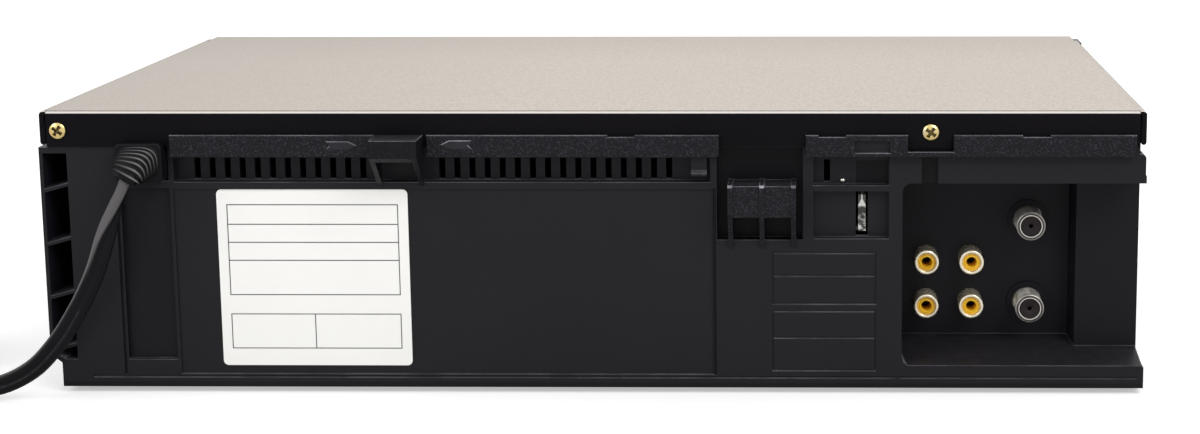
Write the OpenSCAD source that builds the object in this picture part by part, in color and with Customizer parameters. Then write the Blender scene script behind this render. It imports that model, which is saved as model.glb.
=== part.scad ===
// Video cassette recorder: moulded cabinet with a shallow steel lid, a front panel with a
// cassette flap and push buttons, a rear face with jacks, and a helical-scan tape deck inside.
// Origin: centre of the footprint on the supporting surface. +Z up, front face towards -Y.

/* [Cabinet] */
// Overall width of the cabinet
body_w = 360; // [340:1:400]
// Depth from the front face to the rear plane
body_depth = 222; // [214:1:250]
// Height of the cabinet without its feet
body_h = 92; // [90:0.5:100]
// Height of the feet
foot_h = 2; // [1.5:0.5:6]
// Radius of a foot
foot_r = 9; // [6:0.5:14]
// Distance of the feet from the sides
foot_inset = 30; // [20:1:60]
// General wall thickness of the mouldings
wall = 2.5; // [2:0.1:3]
// Thickness of the cabinet's floor
floor_t = 3; // [2:0.1:4]
// Thickness of the bottom plate
bottom_t = 1.6; // [1:0.1:2]
// Outer skin of the double side walls
skin = 1.2; // [1:0.1:1.6]
// Gap between the two skins of a side wall
side_gap = 7.8; // [6:0.1:9]
// Vertical pitch of the ribs in the side walls
rib_pitch = 17.8; // [14:0.1:22]
// Height of the lowest side rib
first_rib_z = 11.6; // [11:0.1:14]
// Inset of the lower edge on the cord's side
toe_in = 3.7; // [1:0.1:5]

/* [Top cover] */
// Sheet thickness of the lid
cover_t = 0.8; // [0.6:0.05:1.2]
// Depth of the lid's flanges
flange_h = 11.7; // [10:0.1:13]
// Thickness of the hemmed side lips
lip_t = 1.8; // [1.2:0.1:2.4]
// How far the lid's sides stand in from the cabinet's sides
cover_inset = 1; // [0.5:0.1:2]
// Width of the screw tab on the rear flange
tab_w = 14.2; // [12:0.1:18]
// Shank radius of the screws
screw_r = 1.4; // [1:0.1:1.8]
// Head radius of the screws
screw_head_r = 2.6; // [2:0.1:3.2]

/* [Rear face] */
// Top of the two textured rails below the top of the cabinet
rail_drop = 7.6; // [7:0.1:9]
// Height of the rails
rail_h = 7; // [6.8:0.1:8.2]
// How far the rails stand out of the rear plane
rail_out = 3.2; // [2.4:0.1:5]
// Height of the vent band under the first rail
band_h = 8.4; // [8:0.1:10]
// Depth of the vent band
band_in = 4.5; // [3:0.1:6]
// Pitch of the vent slots
vent_pitch = 4.94; // [4:0.02:6]
// Width of a vent slot
vent_w = 2; // [1.4:0.1:2.6]
// Height of a vent slot
vent_h = 7.1; // [5:0.1:8]
// Slots in the vent group beside the cord
vents_left = 12; // [8:1:13]
// Slots in the vent group in the middle
vents_right = 16; // [8:1:16]
// Reach of the cord hook
hook_out = 14; // [10:0.5:18]
// Width of the cord hook
hook_w = 15.2; // [12:0.2:18]
// Reach of the wall spacer
spacer_out = 8; // [6:0.5:11]
// Thickness of small moulded ribs
rib_t = 1.6; // [1.2:0.1:2]

/* [Jack recess] */
// Width of the jack recess from the side
recess_w = 79.3; // [76:0.5:84]
// Depth of the jack recess
recess_in = 30; // [26:0.5:32]
// Depth of the pocket at the recess's open side
pocket_in = 18.5; // [15:0.5:22]
// Width of that pocket
pocket_w = 19.7; // [16:0.1:22]
// Ceiling of the jack recess below the cabinet's top
recess_drop = 23.8; // [22:0.1:26]
// Pitch of the phono jacks
phono_pitch = 15; // [14:0.1:16]
// Outer radius of a phono jack's shell
phono_r = 4.15; // [4:0.05:4.25]
// Bore radius of a phono jack's contact
phono_bore_r = 1.65; // [1.5:0.05:1.8]
// Length of a phono jack out of the recess's wall
phono_out = 10; // [9:0.5:12]
// Radius of an aerial connector's barrel
aerial_r = 4.75; // [4.6:0.05:4.8]
// Length of an aerial connector out of the recess's wall
aerial_out = 13; // [11:0.5:15]
// Height between the two aerial connectors
aerial_pitch = 28; // [24:0.5:32]

/* [Front panel] */
// Depth of the front panel's side returns
front_depth = 18; // [16:0.5:22]
// Height of the cassette slot
slot_h = 31.5; // [31:0.5:34]
// Clearance of buttons, flap and window in their openings
gap = 0.3; // [0.2:0.05:0.5]
// Height of a push button
button_h = 8; // [6:0.5:10]
// Width of a transport button
button_w = 18; // [14:0.5:20]
// How far the buttons stand out of the front face
button_proud = 0.5; // [0.2:0.1:1]
// Travel of the push buttons
button_travel = 0.8; // [0.6:0.1:1.2]
// Width of the display window
window_w = 78; // [60:1:84]
// Height of the display window
window_h = 26; // [20:1:30]

/* [Tape deck] */
// Sideways place of the deck's centre line
deck_x = -30; // [-34:1:-28]
// Width of a cassette
tape_w = 188; // [188:0.1:188.5]
// Thickness of a cassette
tape_h = 25; // [25:0.1:25.4]
// Depth of a cassette
tape_l = 104; // [103:0.1:104]
// Distance of the loaded cassette behind the front face
tape_in = 36; // [35.5:0.1:36.5]
// Height that the loaded cassette sinks by
drop = 24; // [22:0.5:25]
// Way of the cassette carriage into the set
travel = 58; // [50:0.5:58]
// Thickness of the pressed deck plate
plate_t = 1.2; // [1:0.1:1.6]
// Radius of the head drum
drum_r = 31; // [30:0.1:31]
// Tilt of the head drum
drum_tilt = 6; // [0:0.5:7]
// Radius of the reel tables
reel_r = 21; // [18:0.5:22]
// Distance between the reel tables
reel_pitch = 92; // [90:0.5:94]
// Radius of the capstan
capstan_r = 1.5; // [1.2:0.1:2]
// Radius of the pinch roller
pinch_r = 7; // [6:0.1:7.4]
// Running clearance of shafts in their bores
running = 0.05; // [0.02:0.01:0.1]
// Radius of the pins that carry wheels and arms
pin_r = 2; // [1.6:0.1:2.4]
// Way of the tape guides to the drum
guide_way = 52; // [40:0.5:52]
// Number of teeth on the cam gear
cam_teeth = 48; // [40:1:48]

/* [Mains cord] */
// Width of the flat twin lead
cord_w = 6.4; // [5.8:0.1:6.6]
// Thickness of the flat twin lead
cord_t = 3.4; // [3:0.1:3.6]
// Radius of the coil's outer turn
coil_r = 42; // [40:0.5:44]
// Turns in one layer of the coil
layer_turns = 1.8; // [1.8:0.01:1.81]
// Layers of the coil
layers = 4; // [4:2:4]
// Spacing of the turns in a layer
turn_pitch = 7.2; // [7:0.1:7.4]
// Height between layers
layer_pitch = 4.1; // [4:0.05:4.4]

/* [Hidden] */
$fn = 48;
eps = 0.01;

// The box is centred on its footprint, with the hook as its rearmost point
half_w = body_w / 2;
front_y = -(body_depth + hook_out) / 2;
rear_y = front_y + body_depth;

black_plastic = [0.10, 0.10, 0.11];
dark_steel = [0.13, 0.13, 0.14];
zinc = [0.72, 0.73, 0.75];
board_green = [0.10, 0.32, 0.18];

// Heights, measured from the cabinet's bottom
floor_z = bottom_t;
floor_top = floor_z + floor_t;
cover_under = body_h - cover_t;
flange_z = body_h - flange_h;
rail_top = body_h - rail_drop;
rail_z = rail_top - rail_h;
band_top = rail_z - 0.8;
band_z = band_top - band_h + 0.4;
recess_top = body_h - recess_drop;
toe_z = 9.3;
sill_z = 7.6;
frame_l = body_depth - front_depth;
inner_wall = skin + side_gap + 2;
side_top = flange_z - 0.3;

// Places on the rear face, from the left or the right edge as seen from behind
panel_x0 = -half_w + 42.7;
inlet_x = -half_w + 34;
inlet_w = 15.5;
inlet_z = flange_z - 11.3;
boot_steps = 7;
boot_disc_t = 0.6;
boot_end = 2.4;
label_x = -half_w + 57.2;
recess_x = half_w - recess_w;
rail1_x1 = recess_x - 59.4;
rail2_x0 = recess_x - 31.3;
bay_x0 = recess_x - 60.2;
bay_x1 = recess_x - 32.3;
comp_x0 = recess_x - 28.9;
comp_x1 = recess_x - 4.4;
channel_x = recess_x + 8.9;
hook_x = -half_w + 117.9;
screw1 = [-half_w + 7, body_h - 6.4];
screw2 = [channel_x, body_h - 6.9];
bay_z = body_h - 42.4;
spacer_top = body_h - 23.2;
comp_z = body_h - 42;

// Jacks, from the same edges
phono_x = recess_x + 8.9;
phono_z = 22.9;
aerial_x = recess_x + 43.3;
aerial_z = 22.8;
jack_wall = 2;
board_t = 1.6;

// Front panel, heights from the bottom and places from the cabinet's centre
front_wall = wall;
slot_top = body_h - 4.4;
slot_z = slot_top - slot_h;
flap_w = tape_w + 6;
window_x = half_w - 60;
window_z = body_h - 22;
button_row_z = 26;
power_x = -half_w + 28;
hinge_z = slot_top - 1.4;
hinge_y = 4.6;
hinge_pin_r = 1.2;
flap_t = 2;
flange_step = 1.4;
dish = 1.2;
dish_top = body_h / 2;
board_y = 10;
plunger_y = board_y - 1.4;
row_x = half_w - 96;
row_pitch = 22;

// Deck, in the frame of front_view() moved to the deck's centre line
plate_top = 21.2;
plate_z = plate_top - plate_t;
tape_z = body_h - 35;
deck_top = body_h - 2.6;
track_z = deck_top - 5.8;
reel_y = 84;
reel_x = reel_pitch / 2;
drum_y = 178;
holder_y = 36;
holder_l = 46;
holder_t = 1;
side_x = tape_w / 2 + 0.5;
slider_x = side_x + 2.5;
slider_t = 1.2;
rail_plate_x = side_x + 5;
rail_plate_t = 1.5;
guide_rest = [36, 130];
guide_turn = atan2(7, 51.5);
capstan_xy = [66, 150];
pinch_pivot = [82, 126];
pinch_arm_l = 22.3;
pinch_rest_angle = 171;
clutch_xy = [0, 98];
clutch_r = 14;
capstan_pulley_r = 7;
idler_l = 20;
idler_r = 9.6;
clutch_wheel_r = 10;
tension_pivot = [-70, 116];
tension_post = [-48, 132];
cam_xy = [72, 186];
cam_module = 0.65;
cam_r = cam_module * cam_teeth / 2;
cam_z = 26.8;
worm_r = 4;
worm_l = 15;
worm_lead = 2 * PI * cam_module;
worm_x = cam_xy.x + cam_r + cam_module + gap + worm_r;
worm_z = cam_z + 2.8;
motor_y = 154;
motor_l = 22;
motor_shaft_r = 1;
seat_gap = 0.1;
reel_z = 22;
arm_z = 22.2;
arm_t = 1.8;
roller_pin_r = 1.5;
drum_split = 22;
drum_shaft_r = 2.5;
belt_gap = 0.1;
belt_t = 0.8;

// Mains lead: each point is [x, y, z, turn of the flat section], in millimetres and degrees
cord_route = [
    [148, 118, 74, 70], [149.5, 118, 70, 80], [151.5, 118.5, 65, 100],
    [153.5, 119, 59.5, 130], [155.5, 119.5, 53.5, 160], [157.5, 120, 47, 175],
    [160, 120, 41, 180], [163, 120, 35, 180], [166.5, 120, 29, 180],
    [170.5, 119.5, 23, 180], [175, 119, 17.5, 180], [180, 118, 12.5, 180],
    [186, 117, 8.5, 180], [193, 116, 5.5, 185], [201, 115, 4, 215],
    [210, 114, 3.2, 245], [219, 113.4, 2.3, 262], [228, 113, 1.8, 270],
    [242, 113, 1.8, 270], [255, 113, 1.8, 270]
];
coil_centre = [262, 113 - coil_r];
coil_z = 1.8;
ring_count = 24;
// Tail of the lead from the coil's top layer down to the plug
tail_l = 52;
plug_z = 6.1;

// ---------------------------------------------------------------- general forms

// Solid between two corners
module block(from, to) translate(from) cube(to - from);

// Seen from behind: x to the right, y into the set, z up from the cabinet's bottom
module rear_view() translate([0, rear_y, foot_h]) rotate([0, 0, 180]) children();

// Seen from the front: x to the right, y into the set, z up from the cabinet's bottom
module front_view() translate([0, front_y, foot_h]) children();

// As front_view(), with x counted from the deck's centre line
module deck_view() translate([deck_x, 0, 0]) front_view() children();

// An outline in x and z, made into a plate from y0 to y1
module upright(y0, y1)
    translate([0, y1, 0]) rotate([90, 0, 0]) linear_extrude(y1 - y0) children();

// An outline in y and z, carried along x from x0 to x1
module profile(x0, x1)
    translate([x0, 0, 0]) rotate([90, 0, 90]) linear_extrude(x1 - x0) children();

// Rectangle with true round corners, from its lower left corner
module rounded(size, r) {
    translate([r, 0]) square([size.x - 2 * r, size.y]);
    translate([0, r]) square([size.x, size.y - 2 * r]);
    for (x = [r, size.x - r], y = [r, size.y - r]) translate([x, y]) circle(r);
}

// Shaft or bore along z
module rod(r, z0, z1) translate([0, 0, z0]) cylinder(r = r, h = z1 - z0);

// Ring about z
module ring(r, bore, z0, z1)
    translate([0, 0, z0]) linear_extrude(z1 - z0) difference() {
        circle(r);
        circle(bore);
    }

// Two circles and the straight tangents that join them
module link(a, b, ra, rb) {
    turn = atan2(b.y - a.y, b.x - a.x);
    side = acos((ra - rb) / norm(b - a));
    translate(a) circle(ra);
    translate(b) circle(rb);
    polygon([
        for (s = [side, -side]) a + ra * [cos(turn + s), sin(turn + s)],
        for (s = [-side, side]) b + rb * [cos(turn + s), sin(turn + s)]
    ]);
}

// Spur gear outline with tapered teeth
module gear_outline(teeth, module_mm, bore) {
    tip = module_mm * (teeth / 2 + 1);
    root = module_mm * (teeth / 2 - 1.2);
    step = 360 / teeth;
    difference() {
        polygon([
            for (i = [0:teeth - 1], k = [0:3])
                let (r = k == 1 || k == 2 ? tip : root, a = (i + [0, 0.2, 0.4, 0.6][k]) * step)
                r * [cos(a), sin(a)]
        ]);
        circle(bore);
    }
}

// ---------------------------------------------------------------- cabinet

// Screw along +y in the rear frame, head at the given depth
module screw(depth, length) {
    rotate([-90, 0, 0]) difference() {
        union() {
            rod(screw_r, depth - eps, depth + length);
            rod(screw_head_r, depth - 1, depth);
            translate([0, 0, depth - 1.5]) cylinder(r1 = screw_head_r - 0.8, r2 = screw_head_r, h = 0.5);
        }
        for (a = [0, 90]) rotate([0, 0, a])
            translate([-1.5, -0.35, depth - 2]) cube([3, 0.7, 1.4]);
    }
}

// Cross section of the double side wall on the cord's side, u inward from the outer face
module side_section(toe, top) {
    difference() {
        polygon([
            [0, side_top], [0, toe_z + 1.7], [toe, toe_z - 1.3], [toe, floor_z],
            [inner_wall, floor_z], [inner_wall, top], [cover_inset + lip_t + 0.2, top],
            [cover_inset + lip_t + 0.2, side_top]
        ]);
        polygon([
            [skin, side_top - 2], [skin, toe_z + 2.2], [toe + skin, toe_z],
            [inner_wall - 2, toe_z], [inner_wall - 2, side_top - 2]
        ]);
    }
    for (i = [0:3]) translate([0, first_rib_z + i * rib_pitch])
        polygon([
            [skin - 0.1, 0], [inner_wall - 1.9, 2.2], [inner_wall - 1.9, 3.4], [skin - 0.1, 1.2]
        ]);
}

// Side walls run from the front panel to the rear plane, or to the jack recess's pocket
module side_walls() {
    translate([-half_w, 0, 0]) upright(0, frame_l) side_section(toe_in, cover_under);
    translate([half_w, 0, 0]) mirror([1, 0, 0])
        upright(pocket_in + jack_wall, frame_l) side_section(0, cover_under);
}

// Sunk panel: a plate behind an opening, with its four short walls
module pan(x0, x1, z0, z1, depth) {
    difference() {
        block([x0 - rib_t, 0, z0 - rib_t], [x1 + rib_t, depth + wall, z1 + rib_t]);
        block([x0, -1, z0], [x1, depth, z1]);
    }
}

// Openings in the rear wall that a pan closes
pans = [
    [-half_w + 26, panel_x0 - 0.5, toe_z, band_z - 2, 2],
    [panel_x0 + 1, rail1_x1 - 3, band_z, band_top, band_in],
    [bay_x0, bay_x1, bay_z, body_h - 12, 5],
    [comp_x0, comp_x1, comp_z + 17.6, rail_z - 0.1, 3.5],
    [comp_x0, comp_x1, comp_z, comp_z + 15.6, 3.5]
];

// Wall of the rear face, up to the jack recess
module rear_wall() {
    difference() {
        union() {
            difference() {
                block([-half_w + inner_wall - 2, 0, floor_z], [recess_x, wall, cover_under]);
                for (p = pans) block([p[0], -1, p[2]], [p[1], wall + 1, p[3]]);
            }
            for (p = pans) pan(p[0], p[1], p[2], p[3], p[4]);
        }
        // grooves that divide the plain panels
        for (x = [-half_w + 24.4, rail1_x1 - 2.1])
            block([x, -1, 4], [x + 0.9, 0.9, band_z - 2]);
        block([-half_w + 14, -1, 3.2], [recess_x + 1, 0.5, 3.9]);
        block([panel_x0 + 0.6, -1, 4.4], [rail1_x1 - 2.2, 0.6, band_z - 2.4]);
        // frames left blank beside the jack recess
        for (z = [5.7, 28.1]) frame_groove(recess_x - 42.4, z, 34, z < 10 ? 20.5 : 17.5);
        // notch for the mains lead
        block([inlet_x - inlet_w / 2 - gap, -1, inlet_z],
            [inlet_x + inlet_w / 2 + gap, wall + 1, cover_under + 1]);
        vent_slots();
    }
    // lid screw boss and the ledge beside the cord
    for (s = [screw1]) translate([s.x + 2.2, wall - 0.1, s.y - 3]) cube([3, 8, 6]);
}

// Engraved rectangle with a dividing line
module frame_groove(x, z, w, h)
    upright(-1, 0.35) difference() {
        translate([x, z]) square([w, h]);
        translate([x + 0.6, z + 0.6]) square([w - 1.2, h * 0.55 - 0.9]);
        translate([x + 0.6, z + h * 0.55 + 0.3]) square([w - 1.2, h * 0.45 - 0.9]);
    }

module vent_slots() {
    z0 = band_z + 0.5;
    for (i = [0:vents_left - 1]) slot_at(-half_w + 49.5 + i * vent_pitch, z0);
    for (i = [0:vents_right - 1]) slot_at(-half_w + 129.7 + i * vent_pitch, z0);
    slot_at(comp_x0 + 3.4, comp_z + 18.4);
}

module slot_at(x, z) block([x, 0, z], [x + vent_w, wall + band_in + 3, z + vent_h]);

// Proud textured rail with an upstand in front of the lid's flange
module rail(x0, x1) {
    difference() {
        block([x0, -rail_out, rail_z], [x1, 0.5, rail_top]);
        block([x0 - 1, -cover_t - 0.2, flange_z - 0.2], [x1 + 1, 1, rail_top + 1]);
    }
}

module rails() {
    difference() {
        union() {
            rail(panel_x0 + 1, hook_x - hook_w / 2 - 0.4);
            rail(hook_x + hook_w / 2 + 1.6, rail1_x1);
            rail(rail2_x0, half_w - 4.4);
        }
        // tab of the lid, and the shallow notches in the upstand
        block([channel_x - tab_w / 2 - 0.3, -rail_out - 1, flange_z - 1.3],
            [channel_x + tab_w / 2 + 0.3, 1, rail_top + 1]);
        for (x = [rail1_x1 - 36, rail2_x0 + 4, half_w - 41])
            block([x, -rail_out - 1, rail_top - 0.6], [x + 9, 1, rail_top + 1]);
        block([comp_x1 - 11.1, -rail_out - 1, rail_z + 1.2],
            [comp_x1 + 0.2, -rail_out + 1.2, rail_top - 1.8]);
    }
}

// Hook for the mains lead: open below, with two slanting cheeks
module cord_hook() {
    x0 = hook_x - hook_w / 2;
    difference() {
        profile(x0, x0 + hook_w) polygon([
            [0.5, rail_top - 0.2], [-hook_out, rail_top - 0.2], [-hook_out, rail_z + 1],
            [0.5, band_z - 1.6]
        ]);
        profile(x0 + rib_t, x0 + hook_w - rib_t) polygon([
            [1, rail_top - 2], [-hook_out + 1.8, rail_top - 2],
            [-hook_out + 1.8, rail_z - 0.6], [0, band_z - 8], [1, band_z - 8]
        ]);
        block([x0 - 1, -cover_t - 0.2, flange_z - 0.2], [x0 + hook_w + 1, 1, body_h]);
    }
}

// Snap catch at the end of the first rail
module catch() {
    x = rail1_x1 - 9;
    profile(x, x + 5) polygon([
        [0.5, rail_z + 0.1], [-0.9, rail_z + 0.1], [-0.9, rail_z - 4.8], [-2.6, rail_z - 5.6],
        [-2.6, rail_z - 6.4], [0.5, rail_z - 7.8]
    ]);
}

// Spacer that keeps the set clear of a wall: three ribs and two front plates
module spacer() {
    front = -spacer_out;
    for (i = [0:2]) profile(bay_x0 + 3.7 + i * 10.2, bay_x0 + 3.7 + rib_t + i * 10.2)
        polygon([
            [5.2, spacer_top], [front + 0.6, spacer_top], [front, spacer_top - 0.8],
            [front, spacer_top - 9.5], [0.4, spacer_top - 22.8], [5.2, spacer_top - 22.8]
        ]);
    profile(bay_x0 + 3.7, bay_x0 + 3.7 + 20.4 + rib_t) polygon([
        [5.2, spacer_top - 0.3], [front + 0.5, spacer_top - 0.3],
        [front + 0.5, spacer_top - 10.5], [front + 2, spacer_top - 10.5], [front + 2, spacer_top - 2], [5.2, spacer_top - 2]
    ]);
}

// Plan of the jack recess, from its left wall round to the open side
function recess_plan(grow) = [
    [recess_x - grow, -1], [recess_x - grow, recess_in + grow],
    [half_w - pocket_w - 2.6 + grow, recess_in + grow],
    [half_w - pocket_w - 1.3 + grow, pocket_in + grow], [half_w + 5, pocket_in + grow],
    [half_w + 5, -1]
];

module jack_recess() {
    difference() {
        union() {
            // walls
            translate([0, 0, floor_z]) linear_extrude(recess_top - floor_z + wall)
                intersection() {
                    polygon(recess_plan(jack_wall));
                    translate([recess_x - 5, 0]) square([recess_w + 5 - 0.5, 60]);
                }
            // ledge over the recess, with its rounded end
            upright(0, pocket_in + jack_wall) translate([recess_x - 1, recess_top])
                rounded([recess_w + 0.2, rail_z - recess_top + 0.4], 1.5);
            block([recess_x, 0, rail_z], [half_w - cover_inset - lip_t - 0.2, wall, cover_under]);
            // toe of the cabinet beside the recess
            block([recess_x, 0, floor_z], [half_w, pocket_in, sill_z - 0.6]);
        }
        // inside of the recess, over a floor that rises inwards
        difference() {
            translate([0, 0, floor_z]) linear_extrude(recess_top - floor_z)
                polygon(recess_plan(0));
            profile(recess_x - 1, half_w + 6) polygon([
                [-2, 0], [-2, sill_z - 0.2], [0, sill_z], [recess_in + 1, 11.4],
                [recess_in + 1, 0]
            ]);
            for (z = [sill_z, recess_top]) corner_fillet(z);
        }
        // hollow under the sloping floor
        profile(recess_x, half_w - 2) polygon([
            [wall, floor_z - 1], [wall, sill_z - 2], [pocket_in - 0.5, 7.8],
            [pocket_in - 0.5, floor_z - 1]
        ]);
        // space above the ceiling, behind the wall
        block([recess_x, wall, recess_top + wall], [half_w - 2, recess_in + 5, cover_under + 1]);
        block([recess_x - 1, -1, 3.2], [half_w - 2, 0.5, 3.9]);
        // upright channel under the lid's tab
        block([channel_x - 2.6, -1, recess_top - 1], [channel_x + 2.6, 1.6, flange_z - 1.3]);
        jack_holes();
    }
    jack_bosses();
}

// Rounding of the recess's two left corners
module corner_fillet(z) {
    r = 3;
    up = z < 20 ? 1 : -1;
    upright(0, recess_in + 1) translate([recess_x, z]) difference() {
        translate([-0.1, up > 0 ? -0.1 : -r]) square([r + 0.1, r + 0.1]);
        translate([r, up * r]) circle(r);
    }
}

module jack_holes() {
    for (i = [0, 1], k = [0, 1])
        translate([phono_x + i * phono_pitch, recess_in - 1, phono_z + k * phono_pitch])
            rotate([-90, 0, 0]) rod(phono_r + gap / 2, 0, jack_wall + 2);
    for (k = [0, 1]) translate([aerial_x, recess_in - 1, aerial_z + k * aerial_pitch])
        rotate([-90, 0, 0]) rod(aerial_r + gap, 0, jack_wall + 2);
}

// Low collars round the aerial connectors
module jack_bosses()
    for (k = [0, 1]) translate([aerial_x, recess_in - 1, aerial_z + k * aerial_pitch])
        rotate([-90, 0, 0]) ring(aerial_r + 2, aerial_r + gap, 0, 1 + eps);

// Bosses on the floor that carry the deck plate, the boards and the bottom plate's screws
deck_bosses = [[-96, 30], [96, 30], [96, 198], [-56, 198]];
power_y = body_depth - 76;
board_bosses = [for (x = [half_w - 98, half_w - 18], y = [32, power_y - 12, power_y + 6, power_y + 60]) [x, y]];
bottom_screws = [[-half_w + 40, 60], [half_w - 40, 60], [-half_w + 40, 160], [half_w - 40, 166]];
board_z = 8;

module floor_bosses() {
    front_view() {
        for (b = deck_bosses) translate([deck_x + b.x, b.y, 0]) difference() {
            rod(4, floor_top - eps, plate_z);
            rod(screw_r + 0.1, floor_top + 1, plate_z + 1);
        }
        for (b = board_bosses) translate([b.x, b.y, 0]) rod(3, floor_top - eps, board_z);
    }
}

module cabinet_frame() color(black_plastic) {
    rear_view() {
        difference() {
            union() {
                side_walls();
                rear_wall();
                jack_recess();
                block([-half_w + inner_wall - 1, 1, floor_z],
                    [recess_x + 1, frame_l, floor_top]);
                block([recess_x, recess_in + 1, floor_z],
                    [half_w - inner_wall + 1, frame_l, floor_top]);
                block([half_w - pocket_w + 1, pocket_in + 1, floor_z],
                    [half_w - inner_wall + 1, recess_in + 2, floor_top]);
                rails();
                cord_hook();
                catch();
                spacer();
                for (s = [screw1, screw2]) translate([s.x, 0, s.y]) rotate([-90, 0, 0])
                    rod(3.4, wall - eps, 9);
            }
            for (s = [screw1, screw2]) translate([s.x, 0, s.y]) rotate([-90, 0, 0])
                rod(screw_r + 0.1, -1, 11);
            // lamp-sized hole of the ground clip, and slots in the floor for air
            block([comp_x1 - 10.7, 1, comp_z + 0.5], [comp_x1 - 6.8, 12, comp_z + 15.2]);
            for (i = [0:9]) block([-half_w + 50 + i * 8, 60, floor_z - 1],
                [-half_w + 53 + i * 8, 110, floor_top + 1]);
        }
    }
    floor_bosses();
}

module bottom_cover() color(dark_steel)
    rear_view() difference() {
        block([-half_w + toe_in, 0, 0], [half_w, frame_l, bottom_t]);
        for (i = [0:9]) block([-half_w + 50 + i * 8, 60, -1],
            [-half_w + 53 + i * 8, 110, bottom_t + 1]);
        for (b = bottom_screws) translate([-b.x, body_depth - b.y, 0])
            rod(screw_r + 0.1, -1, bottom_t + 1);
    }

module feet() color([0.08, 0.08, 0.08])
    for (x = [-half_w + foot_inset, half_w - foot_inset],
         y = [front_y + 40, rear_y - 30])
        translate([x, y, 0]) rotate_extrude() polygon([
            [0, 0], [foot_r - 0.6, 0], [foot_r, 0.6], [foot_r, foot_h], [0, foot_h]
        ]);

// ---------------------------------------------------------------- lid

module top_cover() color([0.72, 0.69, 0.65])
    rear_view() {
        w = half_w - cover_inset;
        difference() {
            union() {
                upright(-cover_t, frame_l - gap) translate([-w, 0]) cover_section(2 * w);
                block([-w + 1, frame_l - 1, cover_under], [w - 1, body_depth - 1.5, body_h]);
                block([-w + lip_t + 0.3, -cover_t, flange_z], [w - lip_t - 0.3, 0, cover_under + eps]);
                block([channel_x - tab_w / 2, -cover_t, flange_z - 1.2],
                    [channel_x + tab_w / 2, 0, flange_z + eps]);
            }
            for (s = [screw1, screw2]) translate([s.x, 0, s.y]) rotate([-90, 0, 0])
                rod(screw_r + 0.2, -3, 1);
        }
    }

// Sheet with hemmed lips down both sides
module cover_section(w) {
    difference() {
        translate([0, body_h - 2]) rounded([w, 2], 0.99);
        translate([lip_t, body_h - 3]) square([w - 2 * lip_t, 3 - cover_t]);
    }
    for (x = [0, w - lip_t]) translate([x, flange_z + 0.6]) rounded([lip_t, flange_h - 1.6], 0.85);
}

// Yellow zinc screws: lid, deck plate and bottom plate
module screws() color([0.80, 0.68, 0.36]) {
    rear_view() for (s = [screw1, screw2]) translate([s.x, 0, s.y]) screw(-cover_t, 8);
    front_view() {
        for (b = deck_bosses) translate([deck_x + b.x, b.y, plate_top])
            rotate([-90, 0, 0]) screw(0, 8);
        for (b = bottom_screws) translate([b.x, b.y, 0]) rotate([90, 0, 0]) screw(0, floor_z);
    }
}

// ---------------------------------------------------------------- front

// Places of the push buttons: name, centre and width
power_at = [power_x, window_z, 22];
stop_at = [power_x, button_row_z, 22];
rewind_at = [row_x, button_row_z, button_w];
play_at = [row_x + row_pitch, button_row_z, button_w];
forward_at = [row_x + 2 * row_pitch, button_row_z, button_w];
record_at = [row_x + 3 * row_pitch, button_row_z, button_w];
up_at = [row_x - 2 * row_pitch, button_row_z, button_w];
down_at = [row_x - 3 * row_pitch, button_row_z, button_w];
buttons = [power_at, stop_at, rewind_at, play_at, forward_at, record_at, up_at, down_at];

// Outside of the front panel in y and z
module front_profile(inset) {
    polygon([
        [inset, 3 + inset / 2], [2 + inset / 2, inset], [front_depth + (inset > 0 ? 1 : 0), inset],
        [front_depth + (inset > 0 ? 1 : 0), cover_under - 0.1 - inset],
        [3 + inset / 2, cover_under - 0.1 - inset], [inset, cover_under - 2.4 - inset / 2],
        [inset, dish_top + 1], [dish + inset, dish_top - 1], [dish + inset, 12], [inset, 10]
    ]);
}

module front_panel() color(black_plastic)
    front_view() {
        difference() {
            profile(-half_w, half_w) front_profile(0);
            profile(-half_w + wall, half_w - wall) front_profile(front_wall);
            // cassette slot, window and buttons
            block([deck_x - flap_w / 2, -1, slot_z], [deck_x + flap_w / 2, wall + 1, slot_top]);
            upright(-1, wall + 1) translate([window_x - window_w / 2, window_z - window_h / 2])
                rounded([window_w, window_h], 2);
            for (b = buttons) upright(-1, wall + 2)
                translate([b.x - b.z / 2, b.y - button_h / 2]) rounded([b.z, button_h], 1.5);
            // round ends of the panel, seen from above
            for (s = [-1, 1]) translate([s * half_w, 0, -1]) rotate([0, 0, 45])
                cube([3, 3, 2 * body_h + 4], center = true);
        }
        // ears that carry the flap's pins
        for (s = [-1, 1]) translate([deck_x + s * (flap_w / 2 + 1.2), 0, 0]) difference() {
            block([-1.2, wall - eps, hinge_z - 4], [1.2, hinge_y + 3, hinge_z + 1.2]);
            translate([-2, hinge_y, hinge_z]) rotate([0, 90, 0]) rod(hinge_pin_r + running, 0, 4);
        }
    }

module display_window() color([0.05, 0.05, 0.07, 0.8])
    front_view() {
        upright(0.4, wall - 0.4) translate([window_x - window_w / 2 + gap,
            window_z - window_h / 2 + gap]) rounded([window_w - 2 * gap, window_h - 2 * gap], 1.8);
        upright(wall - 0.4 - eps, wall + 1) difference() {
            translate([window_x - window_w / 2 + gap, window_z - window_h / 2 + gap])
                rounded([window_w - 2 * gap, window_h - 2 * gap], 1.8);
            translate([window_x - window_w / 2 + 3, window_z - window_h / 2 + 3])
                square([window_w - 6, window_h - 6]);
        }
    }

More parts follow.
